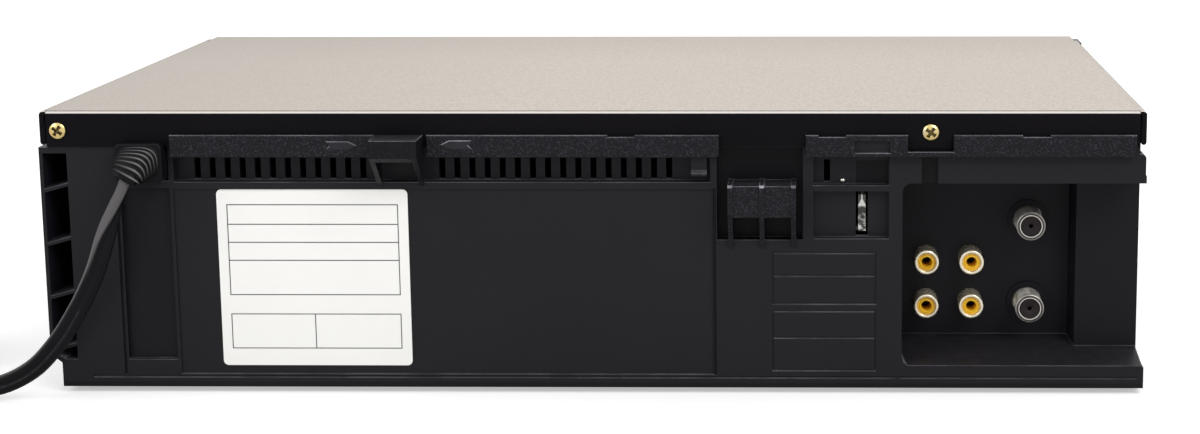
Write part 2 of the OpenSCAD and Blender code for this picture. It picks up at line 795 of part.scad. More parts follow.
// Flap that swings inwards on two pins at its top edge
module cassette_door() color(black_plastic)
    front_view() translate([deck_x, 0, 0]) {
        w = flap_w - 2 * gap;
        difference() {
            profile(-w / 2, w / 2) polygon([
                [0.6, slot_z + 0.8], [1.2, slot_z + gap], [0.6 + flap_t, slot_z + gap],
                [0.6 + flap_t, hinge_z - 2.4], [hinge_y + 1.6, hinge_z - 2.4],
                [hinge_y + 2, hinge_z + 0.6], [1.4, slot_top - gap], [0.6, slot_top - 1.2]
            ]);
            // grip line along the lower third
            block([-w / 2 + 10, 0, slot_z + 8], [w / 2 - 10, 0.9, slot_z + 9]);
        }
        translate([-w / 2 - 2.4, hinge_y, hinge_z]) rotate([0, 90, 0]) rod(hinge_pin_r, 0, 2.5);
        translate([w / 2 - 0.1, hinge_y, hinge_z]) rotate([0, 90, 0]) rod(hinge_pin_r, 0, 6.4);
    }

// Torsion spring round the flap's longer pin, its leg against the panel's ear
module door_spring() color(zinc)
    front_view() translate([deck_x + flap_w / 2 + 2.6, hinge_y, hinge_z]) rotate([0, 90, 0]) {
        ring(2.1, hinge_pin_r + 0.2, 0, 3.2);
        translate([0.8, 1.2, 0]) cube([7, 0.7, 0.7]);
    }

// Push button: rounded cap, wider step behind the panel and a stem to its switch
module button(at)
    front_view() translate([at.x, 0, at.y]) {
        w = at.z - 2 * gap;
        h = button_h - 2 * gap;
        face = at.y > dish_top ? 0 : dish;
        step = face + front_wall + 0.1;
        upright(max(face - button_proud, 0.1), step + eps)
            translate([-w / 2, -h / 2]) rounded([w, h], 1.3);
        upright(step, step + flange_step) translate([-w / 2 - 1, -h / 2 - 1]) square([w + 2, h + 2]);
        upright(step + flange_step - eps, plunger_y - button_travel - gap)
            translate([-1.5, -1.5]) square([3, 3]);
    }

module power_button() color(zinc) button(power_at);
module stop_eject_button() color(zinc) button(stop_at);
module rewind_button() color(zinc) button(rewind_at);
module play_button() color(zinc) button(play_at);
module fast_forward_button() color(zinc) button(forward_at);
module record_button() color(zinc) button(record_at);
module channel_up_button() color(zinc) button(up_at);
module channel_down_button() color(zinc) button(down_at);

// Board behind the panel, cut out round the cassette slot, with a switch behind each button
module front_board() color(board_green)
    front_view() {
        x0 = -half_w + 14;
        x1 = half_w - 14;
        upright(board_y, board_y + board_t) difference() {
            translate([x0, 8]) square([x1 - x0, 78]);
            translate([deck_x - flap_w / 2 - 8, 47]) square([flap_w + 16, 60]);
        }
        for (b = buttons) translate([b.x, 0, b.y]) {
            block([-3, board_y - 1, -3], [3, board_y + eps, 3]);
            translate([0, plunger_y, 0]) rotate([-90, 0, 0]) rod(1.5, 0, 0.5);
        }
        // lugs to the panel's floor
        for (x = [x0 + 20, x1 - 20]) block([x, board_y, wall + 0.1], [x + 8, board_y + board_t, 8 + eps]);
    }

module display_tube() color([0.35, 0.5, 0.48])
    front_view() upright(wall + 2, board_y)
        translate([window_x - window_w / 2 + 6, window_z - 9]) rounded([window_w - 12, 18], 2);

// ---------------------------------------------------------------- rear pieces

module rating_label() color([0.95, 0.95, 0.94])
    rear_view() upright(0.45, 0.6)
        translate([label_x, 7.2]) rounded([62.5, band_z - 9.7], 1.7);

// Phono jacks: plated shells round yellow inserts
module at_phonos()
    rear_view() for (i = [0, 1], k = [0, 1])
        translate([phono_x + i * phono_pitch, recess_in, phono_z + k * phono_pitch])
            rotate([-90, 0, 0]) children();

module phono_shells() color([0.82, 0.78, 0.66])
    at_phonos() {
        ring(phono_r, phono_r - 0.8, -phono_out, 0);
        ring(phono_r - 0.25, phono_r - 0.8, -eps, jack_wall + 2);
        ring(phono_r + 0.8, phono_r - 0.8, jack_wall + 1, jack_wall + 2);
    }

module phono_inserts() color([0.90, 0.75, 0.20])
    at_phonos() difference() {
        rod(phono_r - 0.8, -phono_out + 0.5, jack_wall + 2);
        rod(phono_bore_r, -phono_out - 1, 0);
    }

module jack_board() color(board_green)
    rear_view() block([phono_x - 7, recess_in + jack_wall + 2, floor_top],
        [phono_x + phono_pitch + 5.5, recess_in + jack_wall + 2 + board_t, 56]);

module aerial_connectors() color(zinc)
    rear_view() for (k = [0, 1])
        translate([aerial_x, recess_in, aerial_z + k * aerial_pitch]) rotate([-90, 0, 0]) {
            difference() {
                union() {
                    rod(aerial_r, -aerial_out + 0.5, -1.1);
                    rod(aerial_r - 0.25, -1.1 - eps, jack_wall + 1.5);
                    translate([0, 0, -aerial_out]) cylinder(r1 = aerial_r - 0.5, r2 = aerial_r, h = 0.5 + eps);
                }
                rod(aerial_r - 1.3, -aerial_out - 1, -2);
            }
            difference() {
                rod(aerial_r - 1.3, -aerial_out + 0.6, -2);
                rod(0.8, -aerial_out, -4);
            }
        }

// Screened tuner and modulator behind the aerial connectors
module tuner_box() color(zinc)
    rear_view() translate([aerial_x - 13, recess_in + jack_wall + 1.5, 0]) {
        block([0, 0, floor_top], [26, 25, 60]);
        block([-0.4, -0.4 + 0.4, 52], [26.4, 25.4, 60.4]);
        for (i = [0:3]) translate([5 + i * 5, 25, 20]) cube([2, 0.6, 30]);
    }

// Spring contact in its slot
module ground_clip() color(zinc)
    rear_view() translate([comp_x1 - 9.9, 0, 0]) {
        profile(0, 2.4) translate([0, comp_z]) polygon([
            [3, 14], [4, 14.8], [10, 14.8], [10, 14], [4.6, 14], [3.8, 11.5], [6.5, 6],
            [4.2, 2.6], [10, 1.6], [10, 0.8], [3, 2], [5.4, 6]
        ]);
    }

// Mains lead boot: keyed block in the wall and a ribbed elbow that turns down
module strain_relief() color(black_plastic) {
    low = inlet_z + gap;
    rear_view() {
        upright(-6, -cover_t - 0.2) translate([inlet_x - inlet_w / 2, low])
            rounded([inlet_w, 12.7], 1.6);
        upright(-cover_t - 0.2 - eps, wall + 0.2) translate([inlet_x - inlet_w / 2, low])
            rounded([inlet_w, flange_z - gap - low], 1.2);
        upright(wall + 0.2 - eps, wall + 3.5) translate([inlet_x - inlet_w / 2 - 2, low - 1])
            rounded([inlet_w + 2, flange_z - gap - low + 1], 1.2);
    }
    boot();
}

// Elbow: a core that narrows as it turns down to the lead, with ribs across it
module boot() {
    for (i = [0:boot_steps - 1]) hull() {
        boot_disc(i / boot_steps, 0, boot_disc_t);
        boot_disc((i + 1) / boot_steps, 0, boot_disc_t);
    }
    for (i = [0:boot_steps - 1]) boot_disc(i / boot_steps, 1.3, 1);
    hull() {
        boot_disc(1, 0, boot_disc_t);
        translate(exit_dir * (boot_end - boot_disc_t)) boot_disc(1, -0.4, boot_disc_t);
    }
}

// Cross section of the elbow at the share t of its turn, grown by the given amount
module boot_disc(t, grow, thick) {
    start = [-inlet_x, rear_y + 6, foot_h + inlet_z + 7];
    finish = route_path[0] - exit_dir * (boot_end - boot_disc_t / 2);
    lean = atan2(exit_dir.x, -exit_dir.z);
    at = [
        start.x + (finish.x - start.x) * t * t, start.y + (finish.y - start.y) * sin(90 * t),
        finish.z + (start.z - finish.z) * cos(90 * t)
    ];
    w = 12 - 4.4 * t + grow;
    h = 9 - 1.6 * t + grow;
    translate(at) rotate([0, -lean * t, 0]) rotate([90 - 90 * t, 0, 0])
        linear_extrude(thick, center = true)
            translate([-w / 2, -h / 2]) rounded_few([w, h], 1.8);
}

// Rectangle with corners cut at 45 degrees
module rounded_few(size, c) polygon([
    [c, 0], [size.x - c, 0], [size.x, c], [size.x, size.y - c], [size.x - c, size.y],
    [c, size.y], [0, size.y - c], [0, c]
]);

// ---------------------------------------------------------------- electronics

module board(x0, x1, y0, y1)
    front_view() block([x0, y0, board_z], [x1, y1, board_z + board_t]);

module main_board() color(board_green) {
    board(half_w - 102, half_w - 12, 26, power_y - 6);
    front_view() {
        for (i = [0:3]) block([half_w - 94 + i * 20, 50, board_z + board_t - eps],
            [half_w - 82 + i * 20, 62, board_z + board_t + 2.2]);
        block([half_w - 90, 80, board_z + board_t - eps], [half_w - 60, 110, board_z + board_t + 2.6]);
        for (i = [0:6]) translate([half_w - 50 + i * 5, power_y - 26, board_z + board_t - eps])
            rod(2, 0, 7);
    }
}

module power_board() color(board_green) board(half_w - 102, half_w - 12, power_y, power_y + 68);

top_of_board = board_z + board_t;

module transformer() color([0.55, 0.42, 0.18])
    front_view() translate([half_w - 56, power_y + 30, top_of_board]) {
        cube([36, 28, 8]);
        translate([4, 4, 8 - eps]) cube([28, 20, 20 + eps]);
        translate([0, 0, 28 - eps]) cube([36, 28, 5]);
    }

module capacitors() color([0.15, 0.15, 0.2])
    front_view() for (c = [[90, 14, 9, 30], [70, 12, 6, 22], [90, 38, 5, 16], [74, 34, 5, 16],
        [30, 14, 6, 20]])
        translate([half_w - c[0], power_y + c[1], top_of_board]) rotate_extrude() polygon([
            [0, 0], [c[2], 0], [c[2], c[3] - 0.8], [c[2] - 0.8, c[3]], [0, c[3]]
        ]);

module heatsink() color([0.6, 0.6, 0.62])
    front_view() translate([half_w - 98, power_y + 48, top_of_board]) {
        cube([34, 2, 26]);
        for (i = [0:6]) translate([i * 5.33, 2 - eps, 0]) cube([1.4, 9, 26]);
    }

// ---------------------------------------------------------------- deck

// Pressed plate with slots for the tape guides, a hole for each shaft, and fixed pins
module deck_plate() color(zinc)
    deck_view() {
        difference() {
            translate([0, 0, plate_z]) linear_extrude(plate_t) polygon([
                [-104, 22], [104, 22], [104, 206], [-62, 206], [-62, 184], [-92, 184],
                [-92, 154], [-104, 154]
            ]);
            for (s = [-1, 1]) guide_slot(s);
            for (b = deck_bosses) translate([b.x, b.y, 0]) rod(screw_r + 0.1, 0, 40);
            translate([capstan_xy.x, capstan_xy.y, 0]) rod(5, 0, 40);
            translate([clutch_xy.x, clutch_xy.y, 0]) rod(4, 0, 40);
            translate([0, drum_y, 0]) rod(24, 0, 40);
        }
        collared_pin([-reel_x, reel_y], reel_z, 36);
        collared_pin([reel_x, reel_y], reel_z, 36);
        collared_pin(pinch_pivot, arm_z, 28);
        collared_pin(tension_pivot, arm_z, 28);
        collared_pin(cam_xy, cam_z, cam_z + 6.6);
        // posts on which the loaded cassette stands
        for (x = [-76, 76], y = [48, 104]) translate([x, y, 0])
            rod(3, plate_top - eps, tape_z - drop - 0.1);
    }

// Fixed pin with a collar that carries what turns on it
module collared_pin(at, seat, top)
    translate([at.x, at.y, 0]) {
        rod(pin_r, plate_top - eps, top);
        rod(pin_r + 2, plate_top - eps, seat - seat_gap);
    }

module guide_slot(s)
    translate([s * guide_rest.x, guide_rest.y, plate_z - 1])
        rotate([0, 0, s > 0 ? -guide_turn : guide_turn]) linear_extrude(plate_t + 2) {
            translate([-2, 0]) square([4, guide_way]);
            circle(2);
            translate([0, guide_way]) circle(2);
        }

// Fixed side plates with the slots in which the carriage runs
module carriage_frame() color(zinc)
    deck_view() {
        for (s = [-1, 1]) mirror([s > 0 ? 0 : 1, 0, 0]) {
            profile(rail_plate_x, rail_plate_x + rail_plate_t) difference() {
                polygon([
                    [26, plate_top], [150, plate_top], [150, 60], [144, deck_top], [32, deck_top], [26, deck_top - 9.4]
                ]);
                translate([holder_y - 2, track_z]) square([holder_l + travel + 3, 2.8]);
                translate([60, 34]) square([60, 26]);
            }
            for (y = [52, 128]) block([rail_plate_x - 5 + eps, y, plate_top],
                [rail_plate_x + eps, y + 14, plate_top + 1.2]);
        }
        block([-rail_plate_x - eps, 143, deck_top - 2.8], [rail_plate_x + eps, 149, deck_top - 1.2]);
    }

// Slide plates that carry the holder in, joined by a bar over the cassette
module carriage_slider() color([0.62, 0.62, 0.64])
    deck_view() {
        for (s = [-1, 1]) mirror([s > 0 ? 0 : 1, 0, 0]) {
            profile(slider_x, slider_x + slider_t) difference() {
                translate([holder_y + 2, tape_z - 17]) square([holder_l - 4, deck_top - 0.8 - (tape_z - 17)]);
                for (y = [10, holder_l - 10]) translate([holder_y + y - 1.8, tape_z - drop + 8])
                    square([3.6, drop + 6]);
            }
            block([slider_x + slider_t - eps, holder_y + 3, track_z + 0.4],
                [rail_plate_x + 1.2, holder_y + holder_l - 3, track_z + 2.4]);
        }
        block([-slider_x - eps, holder_y + 20, deck_top - 2.4],
            [slider_x + eps, holder_y + 30, deck_top - 0.8]);
    }

// Holder for the cassette: top plate, sides with turned-in lips, and four pins
module cassette_holder() color([0.68, 0.68, 0.70])
    deck_view() translate([0, holder_y, 0]) {
        top = tape_z + tape_h + 0.5;
        upright(0, holder_l) difference() {
            translate([-side_x - holder_t, tape_z - 1.4]) square([2 * (side_x + holder_t), top + 1.4 + holder_t - tape_z]);
            translate([-side_x, tape_z - 0.4]) square([2 * side_x, top + 0.4 - tape_z]);
            translate([-side_x + 12, tape_z - 2]) square([2 * side_x - 24, 10]);
        }
        for (s = [-1, 1], y = [10, holder_l - 10])
            translate([s > 0 ? side_x + holder_t - eps : -side_x - holder_t - 3.2 + eps, y, tape_z - 1.4 + 13])
                rotate([0, 90, 0]) rod(1.5, 0, 3.2);
        for (s = [-1, 1]) block([s * 66 - 6, holder_l - 1, top - 10], [s * 66 + 6, holder_l, top + eps]);
    }

// The drum leans back from the cassette
module drum_frame() deck_view() translate([0, drum_y, plate_top]) rotate([-drum_tilt, 0, 0]) children();

module lower_drum() color([0.70, 0.70, 0.72])
    difference() {
        drum_frame() difference() {
            union() {
                rod(drum_r - 0.4, 4, drum_split);
                for (a = [20, 160, 270]) rotate([0, 0, a]) translate([27.6, 0, 0]) rod(2.8, -5, 6);
                // the outer ring, cut level, is the ledge that guides the tape
                intersection() {
                    rod(drum_r, 4, drum_split);
                    rotate([drum_tilt, 0, 0]) translate([-60, -60, 0]) cube([120, 120, 12]);
                }
            }
            rod(drum_shaft_r + running, 0, 30);
            ring(24.5, 6, 3, 15);
        }
        deck_view() block([-60, drum_y - 60, 0], [60, drum_y + 60, plate_top]);
    }

module head_drum() color([0.80, 0.80, 0.82])
    drum_frame() difference() {
        union() {
            rod(drum_r - 0.4, drum_split + gap, 38);
            rod(9, 38 - eps, 41);
        }
        for (i = [0:3]) rotate([0, 0, 45 + i * 90]) translate([drum_r, 0, drum_split])
            cube([3, 5, 3], center = true);
        rod(drum_shaft_r, drum_split - 2, 36);
        for (i = [0:5]) rotate([0, 0, i * 60]) translate([20, 0, 0]) rod(3.2, 34, 39);
    }

module drum_rotor() color([0.45, 0.46, 0.5])
    drum_frame() {
        rod(drum_shaft_r, -8, 36);
        difference() {
            ring(23, drum_shaft_r - eps, -7, 2.4);
            ring(20, 5, -5, 3);
        }
    }

module capstan() color([0.75, 0.75, 0.77])
    deck_view() translate([capstan_xy.x, capstan_xy.y, 0]) {
        rod(capstan_r, floor_top + gap, 52);
        ring(19, capstan_r - eps, 11, 17);
        ring(capstan_pulley_r, capstan_r - eps, 8, 11 + eps);
        for (z = [8, 10.6]) ring(capstan_pulley_r + 0.9, capstan_r, z - 0.3, z + 0.1);
    }

module capstan_bearing() color([0.7, 0.6, 0.35])
    deck_view() translate([capstan_xy.x, capstan_xy.y, 0]) {
        ring(4.7, capstan_r + running, 17.6, 26);
        ring(7.5, 4.7 - eps, plate_top, arm_z - 0.2);
    }

function pinch_centre(a) = pinch_pivot + pinch_arm_l * [cos(a), sin(a)];

module pinch_arm() color(zinc)
    deck_view() {
        c = pinch_centre(pinch_rest_angle);
        translate([0, 0, arm_z]) linear_extrude(arm_t) difference() {
            link(pinch_pivot, c, 4.4, 3.6);
            translate(pinch_pivot) circle(pin_r + running);
        }
        translate([pinch_pivot.x, pinch_pivot.y, 0])
            ring(4, pin_r + running, arm_z + arm_t - eps, 27.4);
        translate([c.x, c.y, 0]) {
            rod(roller_pin_r, arm_z + 1, 46);
            rod(3, arm_z + 1, 26.7);
            rod(2.4, 44.3, 46);
        }
    }

module pinch_roller() color([0.10, 0.10, 0.10])
    deck_view() {
        c = pinch_centre(pinch_rest_angle);
        translate([c.x, c.y, 0]) rotate_extrude() polygon([
            [roller_pin_r + running, 27], [pinch_r - 0.4, 27], [pinch_r, 27.4], [pinch_r, 43.6],
            [pinch_r - 0.4, 44], [roller_pin_r + running, 44]
        ]);
    }

// Reel table: drive rim, hub and a three-finned spindle
module reel(s)
    deck_view() translate([s * reel_x, reel_y, 0]) difference() {
        union() {
            rod(reel_r, reel_z, 26.5);
            rod(10, 26.5 - eps, 31);
            rod(4.2, 31 - eps, 41);
            translate([0, 0, 41 - eps]) cylinder(r1 = 4.2, r2 = 2, h = 2.5);
            for (i = [0:2]) rotate([0, 0, i * 120]) block([2, -0.8, 31 - eps], [6.2, 0.8, 40]);
        }
        rod(pin_r + running, 20, 36.5);
        ring(reel_r - 3, 12, 24.5, 28);
    }

module supply_reel() color([0.85, 0.85, 0.83]) reel(-1);
module take_up_reel() color([0.85, 0.85, 0.83]) reel(1);

module clutch_pulley() color([0.3, 0.3, 0.32])
    deck_view() translate([clutch_xy.x, clutch_xy.y, 0]) {
        difference() {
            union() {
                rod(clutch_r, 8, 11);
                for (z = [8, 10.6]) rod(clutch_r + 0.9, z - 0.3, z + 0.1);
                rod(3.4, 11 - eps, 23);
                rod(clutch_wheel_r, 23 - eps, 27);
            }
            rod(roller_pin_r + running, 0, 40);
        }
    }

// Arm that tips the idler towards one reel or the other, with the clutch's shaft
module idler_arm() color(zinc)
    deck_view() {
        c = clutch_xy - [0, idler_l];
        translate([clutch_xy.x, clutch_xy.y, 0]) rod(roller_pin_r, floor_top + gap, 31);
        translate([0, 0, 27.3]) linear_extrude(1.5) link(clutch_xy, c, 3.6, 3);
        translate([c.x, c.y, 0]) rod(roller_pin_r, 22.6, 28);
    }

module idler_wheel() color([0.10, 0.10, 0.10])
    deck_view() translate([clutch_xy.x, clutch_xy.y - idler_l, 0]) rotate_extrude() polygon([
        [roller_pin_r + running, 23], [idler_r - 0.4, 23], [idler_r, 23.4], [idler_r, 26.6],
        [idler_r - 0.4, 27], [roller_pin_r + running, 27]
    ]);

// Flat belt from the capstan's pulley round the clutch
module drive_belt() color([0.07, 0.07, 0.07])
    deck_view() translate([0, 0, 8.2]) linear_extrude(2) difference() {
        link(clutch_xy, capstan_xy, clutch_r + belt_gap + belt_t, capstan_pulley_r + belt_gap + belt_t);
        link(clutch_xy, capstan_xy, clutch_r + belt_gap, capstan_pulley_r + belt_gap);
    }

module tension_arm() color(zinc)
    deck_view() {
        translate([0, 0, arm_z]) linear_extrude(arm_t) difference() {
            link(tension_pivot, tension_post, 4.2, 2.6);
            translate(tension_pivot) circle(pin_r + running);
        }
        translate([tension_pivot.x, tension_pivot.y, 0])
            ring(4, pin_r + running, arm_z + arm_t - eps, 27.4);
        translate([tension_post.x, tension_post.y, 0]) {
            rod(1.6, arm_z + 1, 44.5);
            rod(2.3, 44, 45);
        }
    }

// Tape guide: a block that slides on the plate, a pin in the slot and a roller on a post
module tape_guide(s)
    deck_view() translate([s * guide_rest.x, guide_rest.y, 0])
        rotate([0, 0, s > 0 ? -guide_turn : guide_turn]) {
            translate([-5, -6, plate_top + 0.1]) cube([10, 12, 4]);
            rod(1.7, plate_z - 2, plate_top + 0.2);
            rod(3.4, plate_z - 2.8, plate_z - 1);
            rod(1.5, plate_top + 4, 45);
            ring(2.8, 1.4, 28, 42);
            rod(2.6, 43, 45);
        }
module supply_guide() color([0.85, 0.78, 0.55]) tape_guide(-1);
module take_up_guide() color([0.85, 0.78, 0.55]) tape_guide(1);

// Flat-sided motor in its cradle, bored for its shaft along y
module loading_motor() color([0.6, 0.6, 0.62])
    deck_view() translate([worm_x, 0, worm_z]) {
        translate([0, motor_y, 0]) rotate([-90, 0, 0]) difference() {
            union() {
                intersection() {
                    rod(7.4, 0, motor_l);
                    translate([-9, -6.6, -1]) cube([18, 13.2, motor_l + 2]);
                }
                rod(3, motor_l - eps, motor_l + 1.5);
            }
            rod(motor_shaft_r + running, motor_l - 8, motor_l + 2);
        }
        for (y = [3, motor_l - 6]) block([-6, motor_y + y, plate_top - worm_z],
            [6, motor_y + y + 3, -6.5]);
    }

// Two-start worm with the motor's shaft
module worm() color([0.9, 0.88, 0.8])
    deck_view() translate([worm_x, motor_y, worm_z]) rotate([-90, 0, 0]) {
        rod(motor_shaft_r, motor_l - 7.8, motor_l + 20);
        translate([0, 0, motor_l + 2.4])
            linear_extrude(worm_l, twist = -360 * worm_l / worm_lead, slices = 40)
                scale([1, 0.72]) circle(worm_r, $fn = 12);
    }

module cam_gear() color([0.85, 0.84, 0.78])
    deck_view() translate([cam_xy.x, cam_xy.y, cam_z]) {
        linear_extrude(5) gear_outline(cam_teeth, cam_module, pin_r + running);
        ring(6, pin_r + running, 5 - eps, 6.2);
    }

// Fixed heads on their brackets
module head_block(x, y, w)
    deck_view() translate([x, y, 0]) {
        block([-w / 2, -4, plate_top], [w / 2, 6, plate_top + 2]);
        block([-w / 2 + 1, 2, plate_top + 2 - eps], [w / 2 - 1, 5, 40]);
        translate([0, 0, 27]) linear_extrude(14) {
            translate([-w / 2 + 1, -1]) square([w - 2, 3 + eps]);
            translate([0, -1]) circle(w / 2 - 1.5);
        }
    }
module audio_head() color([0.55, 0.55, 0.58]) head_block(52, 157, 11);
module erase_head() color([0.55, 0.55, 0.58]) head_block(-57, 150, 9);

// ---------------------------------------------------------------- mains lead

function unit(v) = v / norm(v);

// Point on the coil after s turns: a spiral in and out again, one layer up at each reversal
function zigzag(s) = let (m = s % (2 * layer_turns)) m < layer_turns ? m : 2 * layer_turns - m;
function climb(s, k) = max(0, min(1, (s - k * layer_turns) * 2 + 0.5));
function coil_radius(s) = coil_r - turn_pitch * zigzag(s);
function coil_height(s) =
    coil_z + layer_pitch * (climb(s, 1) + climb(s, 2) + climb(s, 3)) * (layers > 2 ? 1 : 0);
function coil_point(s) = let (a = 90 - 360 * s, r = coil_radius(s))
    [coil_centre.x + r * cos(a), coil_centre.y + r * sin(a), coil_height(s)];

coil_turns = layers * layer_turns;
coil_end_angle = 90 - 360 * coil_turns;
coil_end = coil_point(coil_turns - eps);
tail_dir = [sin(coil_end_angle), -cos(coil_end_angle), 0];
plug_back = [coil_end.x, coil_end.y, plug_z] + tail_dir * tail_l;
function tail_drop(t) = (1 - cos(180 * max(0, min(1, (t - 0.3) / 0.56)))) / 2;
tail = [for (k = [1:8]) let (t = k / 8)
    [coil_end.x, coil_end.y, coil_end.z + (plug_z - coil_end.z) * tail_drop(t)]
        + tail_dir * tail_l * t];
coil_path = concat(
    [[coil_centre.x - cord_w, coil_centre.y + coil_r, coil_z]],
    [for (i = [0:floor(coil_turns * ring_count)]) coil_point(min(i / ring_count, coil_turns - eps))],
    tail
);

// Flat section with chamfered edges, as [across the width, across the thickness]
function flat_section(c) = [
    [cord_w / 2, cord_t * c], [cord_w / 2 - cord_t * 0.3, cord_t / 2],
    [-cord_w / 2 + cord_t * 0.3, cord_t / 2], [-cord_w / 2, cord_t * c],
    [-cord_w / 2, -cord_t * c], [-cord_w / 2 + cord_t * 0.3, -cord_t / 2],
    [cord_w / 2 - cord_t * 0.3, -cord_t / 2], [cord_w / 2, -cord_t * c]
];
function thin_section() = [
    [cord_w / 2, 0], [cord_w / 2 - cord_t * 0.4, cord_t / 2], [-cord_w / 2 + cord_t * 0.4, cord_t / 2],
    [-cord_w / 2, 0], [-cord_w / 2 + cord_t * 0.4, -cord_t / 2], [cord_w / 2 - cord_t * 0.4, -cord_t / 2]
];

function tangent(p, i) = unit(p[min(i + 1, len(p) - 1)] - p[max(i - 1, 0)]);

// A tube through the points, each ring spread along its width and thickness directions
module sweep(path, widths, section) {
    n = len(section);
    rings = len(path);
    points = [for (i = [0:rings - 1]) let (t = tangent(path, i), w = widths[i], h = cross(t, w))
        for (q = section) path[i] + w * q.x + h * q.y];
    sides = [for (i = [0:rings - 2], j = [0:n - 1]) let (a = i * n + j, b = i * n + (j + 1) % n)
        each [[a, a + n, b], [b, a + n, b + n]]];
    caps = [[for (j = [0:n - 1]) j], [for (j = [n - 1:-1:0]) (rings - 1) * n + j]];
    polyhedron(points, concat(sides, caps), convexity = 10);
}

// Width direction of the free lead: turned from the plane of x and z by the point's angle
exit_z = foot_h + inlet_z + 3;
route_path = [for (p = cord_route)
    [p.x, p.y, p.z + (exit_z - 74) * (p.z - coil_z) / (74 - coil_z)]];
exit_dir = unit(route_path[1] - route_path[0]);
route_widths = [for (i = [0:len(cord_route) - 1])
    let (t = tangent(route_path, i), n0 = unit(cross(t, [0, 1, 0])), b0 = cross(t, n0), a = cord_route[i][3])
    n0 * cos(a) + b0 * sin(a)];
coil_widths = [for (i = [0:len(coil_path) - 1]) unit(cross([0, 0, 1], tangent(coil_path, i)))];

module power_cord() color([0.14, 0.14, 0.15]) sweep(route_path, route_widths, flat_section(0.2));

module cord_coil() color([0.14, 0.14, 0.15]) sweep(coil_path, coil_widths, thin_section());

// Least gap between turns: two flat sections with round edges, their centres dr and dz apart
coil_gaps = [for (i = [0:len(coil_path) - 8], j = [i + 12:len(coil_path) - 1])
    let (d = coil_path[i] - coil_path[j], flat = norm([d.x, d.y]))
    norm([max(flat - (cord_w - cord_t), 0), d.z]) - cord_t];
function path_length(p) = let (d = [for (i = [1:len(p) - 1]) norm(p[i] - p[i - 1])]) d * [for (x = d) 1];
echo(least_gap_in_the_coil = min(coil_gaps));
echo(lead_length = path_length(route_path) + path_length(coil_path));

// Two-pin flat plug, lying beside the coil
module power_plug() {
    turn = atan2(tail_dir.y, tail_dir.x);
    translate(plug_back) rotate([0, 0, turn]) {
        color(black_plastic) {
            hull() {
                translate([0, -4, -2.6]) cube([1, 8, 5.2]);
                translate([10, -5, -3.4]) cube([1, 10, 6.8]);
            }
            hull() {
                translate([10, -6, -4]) cube([1, 12, 8]);
                translate([16, -12, -6]) cube([14, 24, 12]);
                translate([30, -11, -5.2]) cube([4, 22, 10.4]);
            }
        }
        color(zinc) for (s = [-1, 1]) translate([34 - eps, s * 6.35, 0]) difference() {
            translate([0, -0.75, -3.18]) cube([17, 1.5, 6.35]);
            translate([13, -2, 0]) rotate([-90, 0, 0]) rod(1.6, 0, 4);
            for (k = [-1, 1]) translate([17, 0, k * 3.18]) rotate([0, 45, 0]) cube(2.2, center = true);
        }
    }
}

cabinet_frame();
bottom_cover();
feet();
top_cover();
screws();
front_panel();
display_window();
cassette_door();
door_spring();
power_button();
stop_eject_button();
rewind_button();
play_button();
fast_forward_button();
record_button();
channel_up_button();
channel_down_button();
front_board();
display_tube();
rating_label();
phono_shells();
phono_inserts();
jack_board();
aerial_connectors();
tuner_box();
ground_clip();
main_board();
power_board();
transformer();
capacitors();
heatsink();
deck_plate();
carriage_frame();
carriage_slider();
cassette_holder();
lower_drum();
head_drum();
drum_rotor();
capstan();
capstan_bearing();
pinch_arm();
pinch_roller();
supply_reel();
take_up_reel();
clutch_pulley();
idler_arm();
idler_wheel();
drive_belt();
tension_arm();
supply_guide();
take_up_guide();
loading_motor();
worm();
cam_gear();
audio_head();
erase_head();
strain_relief();
power_cord();
cord_coil();
power_plug();
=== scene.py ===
"""Looks of a video cassette recorder, seen from behind: a flat black cabinet under a beige steel lid, a
rear face with vents and jacks, a flat mains lead, a front panel with a cassette flap, and a tape deck.
All lengths are metres in the frame of the CAD model, and lists of plain numbers are millimetres."""
import math

import bpy
import numpy as np
from mathutils import Euler, Matrix, Vector


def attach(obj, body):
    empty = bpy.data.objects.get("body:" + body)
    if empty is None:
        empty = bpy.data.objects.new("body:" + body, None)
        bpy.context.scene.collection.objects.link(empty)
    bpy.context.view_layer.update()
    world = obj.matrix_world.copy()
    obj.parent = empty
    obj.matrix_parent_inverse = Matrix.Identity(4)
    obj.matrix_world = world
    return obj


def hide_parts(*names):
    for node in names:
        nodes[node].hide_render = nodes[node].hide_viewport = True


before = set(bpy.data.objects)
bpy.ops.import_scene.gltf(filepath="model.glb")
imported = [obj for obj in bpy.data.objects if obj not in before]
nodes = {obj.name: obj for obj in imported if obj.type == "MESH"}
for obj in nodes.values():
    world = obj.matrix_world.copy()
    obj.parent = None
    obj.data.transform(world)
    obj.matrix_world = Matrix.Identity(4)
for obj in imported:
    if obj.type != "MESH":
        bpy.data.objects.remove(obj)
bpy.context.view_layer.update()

# ---------------------------------------------------------------- camera, floor and light
# A long lens stands behind the set, a little above it and off its middle, so that the recorder sits left
# of the lens's axis. The floor and the room are white, and three soft boxes add to an even light.
LENS_MM, SENSOR_MM, SIDE_SHIFT, NEAREST = 70.5, 36.0, -0.1496, 0.02
CAMERA_PLACE = (-0.07455, 0.8541, 0.1994)
CAMERA_PITCH, CAMERA_TURN, CAMERA_ROLL = 10.59, 1.05, -0.15
FLOOR_HALF = 4.0
ROOM_LIGHT = 0.62
FLOOR_GREY, FLOOR_LIFT = 0.80, 0.45  # the paper's own shade, and the light that the camera sees added to it
